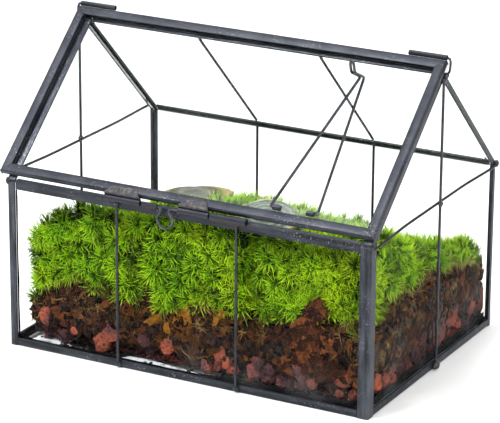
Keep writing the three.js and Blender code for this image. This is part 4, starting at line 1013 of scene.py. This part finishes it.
for k, name in enumerate(CUSHIONS):
    core = cores[name]
    points = core_points[name]
    away = normals(core)
    cover = np.where(away[:, 2] > -0.35, 1.0, 0.0)
    cover[facing_others(name, points, away, 0.006)] = 0
    for middle, reach in FUNGUS_PLACES:
        beneath = from_middle(points, middle, reach) < 0.86
        cover[beneath & (points[:, 2] > middle[2] - 0.015)] = 0
    point_values(core, "cover", cover)
    stars = scatter(
        core, star, MOSS, density=21000, seed=11 + k, scale=(0.75, 1.25), upward=0.75, wander=0.35,
        base_material=MOSS_CORE,
    )
    undergrowth = scatter(
        core, under, MOSS, density=22000, seed=31 + k, scale=(0.8, 1.2), upward=0.4, wander=0.6,
    )
    holder = joined([stars, undergrowth], name)
    mesh = holder.data.copy()
    bpy.data.objects.remove(holder)
    press_to_glass(mesh, depth=0.0042)
    placed = coordinates(mesh)
    green = np.clip((above_soil(placed) - 0.001) / 0.014, 0, 1)
    point_values(mesh, "low", np.minimum(green, above_straw(placed)))
    piece = object_of(mesh, name + "_tufts")
    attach(piece, "case")
    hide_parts(name)
for shape in (star, under):
    bpy.data.objects.remove(shape)

# ---- Peat, stones and bark ----------------------------------------------------------------------------

lumps = {
    "crumb": lump("crumb", (0.0019, 0.0015, 0.0010), seed=3, dents=0.7),
    "flake": lump("flake", (0.0060, 0.0034, 0.0007), seed=4, dents=0.6),
    "stone": lump("stone", (0.0066, 0.0050, 0.0044), seed=6, dents=0.5, subdivisions=2),
    "pebble": lump("pebble", (0.0011, 0.0010, 0.0009), seed=8, dents=0.6),
}
root = fibre("fibre", length=0.017, width=0.0005, seed=9)
wisp = strip_cluster(
    "wisp", count=14, lengths=(0.0055, 0.0095), width=0.00042, spread=(25, 95), seed=15, droop=0.9,
    segments=3,
)

soil = remeshed("peat", voxel=0.0022, smoothing=6)
roughen(soil, strength=0.0024, size=0.012, seed=2)
soil_points = coordinates(soil)
corner_share = in_back_corner(*case_place(soil_points))
soil_points[:, 2] += 0.006 * corner_share * np.clip((soil_points[:, 2] - 0.028) / 0.010, 0, 1)
move_to(soil, soil_points)
soil_normals = normals(soil)
x_case = soil_points[:, 0] - CASE_SHIFT.x
y_case = soil_points[:, 1] - CASE_SHIFT.y
at_side = np.maximum(np.abs(x_case) / INNER_X, np.abs(y_case) / INNER_Y) > 0.86
shown = (at_side & (soil_normals[:, 2] < 0.97)).astype(float)

moss_tree = tree_of([p for cloud in core_points.values() for p in cloud])
to_moss = np.array([moss_tree.find(p)[2] for p in soil_points])
by_right_pane = np.clip((x_case - 0.112) / 0.006, 0, 1) * np.clip((0.05 - y_case) / 0.03, 0, 1)
fringe_reach = 0.010 + 0.014 * by_right_pane
fringe = shown * (to_moss < fringe_reach) * (soil_normals[:, 2] < 0.8)

above_stones = np.clip((soil_points[:, 2] - 0.015) / 0.007, 0.05, 1)
point_values(soil, "cover", shown * above_stones)
soil_parts = [
    scatter(
        soil, lumps["crumb"], CRUMBS, density=108000, seed=21, scale=(0.65, 1.9), follow=0.3, wander=1.0,
        base_material=PEAT,
    ),
    scatter(soil, lumps["flake"], FLAKES, density=24000, seed=22, scale=(0.4, 1.5), wander=0.5),
    scatter(soil, root, FIBRES, density=5000, seed=23, scale=(0.35, 0.85), wander=0.45),
]
at_front = y_case < -0.070
golden = shown * at_front * np.exp(-(((x_case / MM + 8) / 34) ** 2)) * (soil_points[:, 2] > 0.016)
point_values(soil, "cover", golden)
soil_parts += [
    scatter(
        soil, root, GOLDEN, density=26000, seed=26, scale=(0.4, 0.9), follow=0.9, upward=-0.3, wander=0.7,
    ),
    scatter(soil, lumps["flake"], GOLDEN, density=30000, seed=27, scale=(0.7, 2.2), upward=-0.3, wander=0.5),
]
point_values(soil, "cover", fringe)
soil_parts.append(scatter(
    soil, wisp, STRAW, density=30000, seed=24, scale=(0.5, 1.1), follow=0.8, upward=-0.35, wander=0.6,
))


def foot_strip():
    """A flat grid just above the base pane along its front and right, with its cover where grit lies."""
    spacing = 0.003
    height = 0.0044
    vertices = []
    faces = []
    cover = []
    for low, high in (((-0.115, -0.0885), (0.126, -0.0765)), ((0.114, -0.0765), (0.126, 0.086))):
        columns = round((high[0] - low[0]) / spacing)
        rows = round((high[1] - low[1]) / spacing)
        first = len(vertices)
        for j in range(rows + 1):
            for i in range(columns + 1):
                x = low[0] + (high[0] - low[0]) * i / columns
                y = low[1] + (high[1] - low[1]) * j / rows
                vertices.append((x + CASE_SHIFT.x, y + CASE_SHIFT.y, height))
                bare = -0.050 < x < 0.022 or x < -0.096
                cover.append(0.04 if bare else 1.0)
        for j in range(rows):
            for i in range(columns):
                a = first + j * (columns + 1) + i
                faces.append((a, a + 1, a + columns + 2, a + columns + 1))
    mesh = mesh_of("foot_strip", vertices, faces)
    point_values(mesh, "cover", cover)
    return mesh


soil_parts.append(scatter(
    foot_strip(), lumps["pebble"], GRIT, density=240000, seed=25, scale=(0.65, 2.0), follow=0.4, wander=1.0,
))
piece = joined(soil_parts, "peat_crumbs")
press_to_glass(piece.data, depth=0.0014)
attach(piece, "case")
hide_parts("peat")

bed = remeshed("lava_stones", voxel=0.0014, smoothing=1)
roughen(bed, strength=0.0013, size=0.0045, seed=5)
bed_points = coordinates(bed)
point_values(bed, "cover", (bed_points[:, 2] > 0.006).astype(float))
in_middle = at_front * np.exp(-(((x_case / MM + 8) / 40) ** 4))
stony = shown * np.clip((0.026 - soil_points[:, 2]) / 0.006, 0, 1) * (1 - 0.9 * in_middle)
point_values(soil, "cover", stony)
stone_parts = [
    scatter(
        bed, lumps["pebble"], LAVA, density=50000, seed=31, scale=(0.6, 1.8), follow=0.4, wander=1.0,
        base_material=LAVA,
    ),
    scatter(soil, lumps["stone"], LAVA, density=9500, seed=32, scale=(0.65, 1.25), follow=0.3, wander=1.0),
]
piece = joined(stone_parts, "lava_stones_pitted")
press_to_glass(piece.data, depth=0.0014)
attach(piece, "case")
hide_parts("lava_stones")

for k, node_name in enumerate(("bark_chip_standing", "bark_chip_lying")):
    mesh = remeshed(node_name, voxel=0.0007, smoothing=1)
    roughen(mesh, strength=0.0034, size=0.007, seed=8 + k)
    paint(mesh, BARK)
    point_values(mesh, "cover", [1.0] * len(mesh.vertices))
    flaky = scatter(
        mesh, lumps["flake"], FLAKES, density=130000, seed=41 + k, scale=(0.5, 1.5), wander=0.5,
        base_material=BARK,
    )
    press_to_glass(flaky, depth=0.001)
    piece = object_of(flaky, node_name + "_rough")
    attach(piece, "case")
    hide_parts(node_name)

for shape in (*lumps.values(), root, wisp):
    bpy.data.objects.remove(shape)

# ---- Sealant and painted shade ------------------------------------------------------------------------

# Near black: the sealant's colour, and painted shade along the foot of the panes.
SEALER_AND_SHADE = crumb_material("sealant", [(0.0, (0.003, 0.003, 0.004)), (1.0, (0.007, 0.007, 0.008))])


def bead(path, reach, seed):
    """A bead of sealant in an inside corner, near black as sealant and as painted shade. The path holds the
    corner's places and the two directions along the surfaces that meet there, and reach the two widths at
    each place."""
    vertices = []
    faces = []
    rings = len(path)
    for k, (corner, one, other) in enumerate(path):
        wobble = 1 + 0.35 * noise.noise(corner * 55 + Vector((seed, 0, 0)))
        a = one * reach[k][0] * wobble
        b = other * reach[k][1] * wobble
        middle = (a + b) * 0.32
        offsets = (a * 0, a, a * 0.9 + b * 0.12, middle, b * 0.9 + a * 0.12, b)
        vertices += [corner + offset for offset in offsets]
        if k:
            for j in range(6):
                low, high = 6 * (k - 1), 6 * k
                n = (j + 1) % 6
                faces.append((low + j, low + n, high + n, high + j))
    faces.append(tuple(range(5, -1, -1)))
    faces.append(tuple(6 * (rings - 1) + j for j in range(6)))
    mesh = mesh_of("bead", vertices, faces)
    turn_outwards(mesh)
    paint(mesh, SEALER_AND_SHADE)
    point_values(mesh, "tone", [0.5] * len(mesh.vertices))
    return mesh


def sealant():
    # The beads along the right part of the front and along the right pane are wide and tall: painted shade at
    # the glass's foot over the sealant.
    floor_z = 0.0039
    wall_x, wall_y = INNER_X - 0.0001, INNER_Y - 0.0001
    x_axis, y_axis, z_axis = Vector((1, 0, 0)), Vector((0, 1, 0)), Vector((0, 0, 1))
    beads = []
    for k, sy in enumerate((-1, 1)):
        spots = np.linspace(-wall_x, wall_x, 60)
        path = [(Vector((x, sy * wall_y, floor_z)) + CASE_SHIFT, -sy * y_axis, z_axis) for x in spots]
        thick = [0.0045 if x > 0.026 else 0.0012 for x in spots]
        beads.append(bead(path, [(0.0042, high) for high in thick], 3 * k))
    for k, sx in enumerate((-1, 1)):
        spots = np.linspace(-wall_y, wall_y, 45)
        path = [(Vector((sx * wall_x, y, floor_z)) + CASE_SHIFT, -sx * x_axis, z_axis) for y in spots]
        beads.append(bead(path, [(0.0050, 0.0055 if sx > 0 else 0.0012)] * len(path), 20 + 3 * k))
    for sx in (-1, 1):
        spots = np.linspace(floor_z, 0.106, 40)
        path = [(Vector((sx * wall_x, -wall_y, z)) + CASE_SHIFT, -sx * x_axis, y_axis) for z in spots]
        beads.append(bead(path, [(0.0013, 0.0013)] * len(path), 40 + 5 * sx))
    return joined(beads, "sealant_beads")


piece = sealant()
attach(piece, "case")

# ---- Water on the base pane, pale as painted light ----------------------------------------------------

# The outlines of two thin films of water, pale as painted light where the bright floor shows through, in case
# millimetres, and their underside and top.
POOLS = [
    [(-116, -88.9), (-92, -88.9), (-85, -84.2), (-95, -82.4), (-106, -79.0), (-115, -76.5)],
    [(-49, -88.9), (19, -88.9), (1, -86.4), (-15, -84.0), (-31, -81.8), (-45, -83.2)],
]
POOL_HEIGHTS = (4.3, 4.7)


def slab(outline, heights):
    """A flat closed sheet over an outline in case millimetres."""
    count = len(outline)
    vertices = [Vector((x, y, z)) * MM + CASE_SHIFT for z in heights for x, y in outline]
    faces = [tuple(range(count - 1, -1, -1)), tuple(range(count, 2 * count))]
    faces += [(k, (k + 1) % count, count + (k + 1) % count, count + k) for k in range(count)]
    return mesh_of("slab", vertices, faces)


def wavy(outline, seed):
    """An outline with points added along it that wander a little."""
    rng = random.Random(seed)
    steps = 5
    points = []
    for k, start in enumerate(outline):
        end = outline[(k + 1) % len(outline)]
        along_pane = start[1] < -88 and end[1] < -88
        for j in range(steps):
            x = start[0] + (end[0] - start[0]) * j / steps
            y = start[1] + (end[1] - start[1]) * j / steps
            stray = 0 if along_pane or j == 0 else 0.55
            points.append((x + stray * rng.uniform(-1, 1), y + stray * rng.uniform(-1, 1)))
    return points


def water_and_painted_light_material():
    shader = Shader("water_film", Roughness=0.12)
    # Near white: painted light for the bright floor seen through the bare base pane, over a thin film of
    # water.
    shader.set("Base Color", shader.ramp(shader.noise(140, 4), [
        (0.36, (0.30, 0.33, 0.36)),
        (0.46, (0.78, 0.82, 0.86)),
        (0.6, (0.95, 0.97, 1.0)),
    ]))
    return shader.material


def water_pools():
    pools = []
    for k, outline in enumerate(POOLS):
        pool = slab(wavy(outline, 70 + k), POOL_HEIGHTS)
        paint(pool, WATER_AND_PAINTED_LIGHT)
        pools.append(pool)
    return joined(pools, "water_pools")


WATER_AND_PAINTED_LIGHT = water_and_painted_light_material()
piece = water_pools()
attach(piece, "case")

# ---- Solder in the lid's mitres -----------------------------------------------------------------------

# The front eave's line in case millimetres, and the lid's frame above it: its edges, x from the case's
# middle and y up the roof's slope from the eave, and the width of its strips.
EAVE_Y = -93
EAVE_Z = 114
LID_X = (-135.0, 132.0)
LID_Y = (2.5, 134.5)
LID_FACE = 6.5
UP_LID = Vector((0, 0.7555, 0.6551))
OUT_OF_LID = Vector((0, -0.6551, 0.7555))

# A mitre's solder: how far it starts inside the lid's edges and above the roof's slope, and its thickness
# and half width.
MITRE_INSET = 0.15
MITRE_RISE = 0.6
MITRE_THICKNESS = 4.25
MITRE_HALF_WIDTH = 0.3


def mitre(x, sx, y, sy):
    """A bar of solder along a corner's mitre, from the lid's outer corner inwards."""
    corner = Vector((x, EAVE_Y, EAVE_Z)) + UP_LID * (y + MITRE_INSET * sy)
    start = corner + OUT_OF_LID * MITRE_RISE + Vector((MITRE_INSET * sx, 0, 0))
    inward = (Vector((sx, 0, 0)) + UP_LID * sy) * (LID_FACE - MITRE_HALF_WIDTH)
    across = (Vector((sx, 0, 0)) - UP_LID * sy).normalized() * MITRE_HALF_WIDTH
    base = [start - across, start + across, start + inward + across, start + inward - across]
    points = [(p + OUT_OF_LID * up) * MM + CASE_SHIFT for up in (0.0, MITRE_THICKNESS) for p in base]
    faces = [(3, 2, 1, 0), (4, 5, 6, 7), (0, 1, 5, 4), (1, 2, 6, 5), (2, 3, 7, 6), (3, 0, 4, 7)]
    mesh = mesh_of("mitre", points, faces)
    turn_outwards(mesh)
    # Painted with the back strips' darker copy, whose darkness is painted shade.
    paint(mesh, SHADED_BACK_CAME)
    return mesh


mitres = [mitre(x, sx, y, sy) for x, sx in zip(LID_X, (1, -1)) for y, sy in zip(LID_Y, (1, -1))]
piece = joined(mitres, "lid_mitre_solder")
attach(piece, "lid")

# ---- Solder -------------------------------------------------------------------------------------------

# Beads of solder where wires and strips meet: case millimetres and half widths.
BEADS = [
    ((131.2, 3.1, 3.3), (2.6, 3.3, 3.2)),
    ((-131.2, -1.0, 3.0), (2.0, 2.8, 2.8)),
    ((131.3, 3.6, 111.9), (1.5, 2.3, 1.7)),
    ((-131.3, -1.0, 115.8), (1.5, 2.1, 1.6)),
    ((130.4, 92.2, 113.4), (1.9, 2.6, 2.5)),
    ((-130.0, 92.4, 113.0), (1.8, 2.4, 2.3)),
    ((130.2, -91.4, 111.6), (1.5, 2.6, 2.1)),
    ((-129.8, -91.8, 112.6), (1.6, 2.4, 2.4)),
    ((130.6, 4.4, 192.4), (1.7, 2.4, 2.2)),
    ((-47.6, -94.1, 111.2), (1.3, 1.0, 1.6)),
    ((38.2, -94.1, 111.2), (1.3, 1.0, 1.6)),
    ((-48.0, 94.1, 112.7), (1.3, 1.1, 1.3)),
    ((40.4, 94.1, 112.7), (1.3, 1.1, 1.3)),
    ((-48.0, 94.0, 3.2), (1.8, 1.2, 1.8)),
    ((40.4, 94.0, 3.2), (1.8, 1.2, 1.8)),
]


def solder_beads():
    beads = []
    for k, (spot, reach) in enumerate(BEADS):
        blob = lump("bead", [half * MM for half in reach], seed=60 + k, dents=0.22, subdivisions=2)
        move_to(blob.data, coordinates(blob.data) + np.array(spot) * MM + np.array(CASE_SHIFT))
        paint(blob.data, SOLDER)
        shade(blob.data, 60)
        beads.append(blob.data.copy())
        bpy.data.objects.remove(blob)
    return joined(beads, "solder_beads")


piece = solder_beads()
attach(piece, "case")

# ---- Floor --------------------------------------------------------------------------------------------

floor_mesh = mesh_of("floor", [(-6, -6, 0), (6, -6, 0), (6, 6, 0), (-6, 6, 0)], [(0, 1, 2, 3)])
paint(floor_mesh, floor_material())
object_of(floor_mesh, "floor")
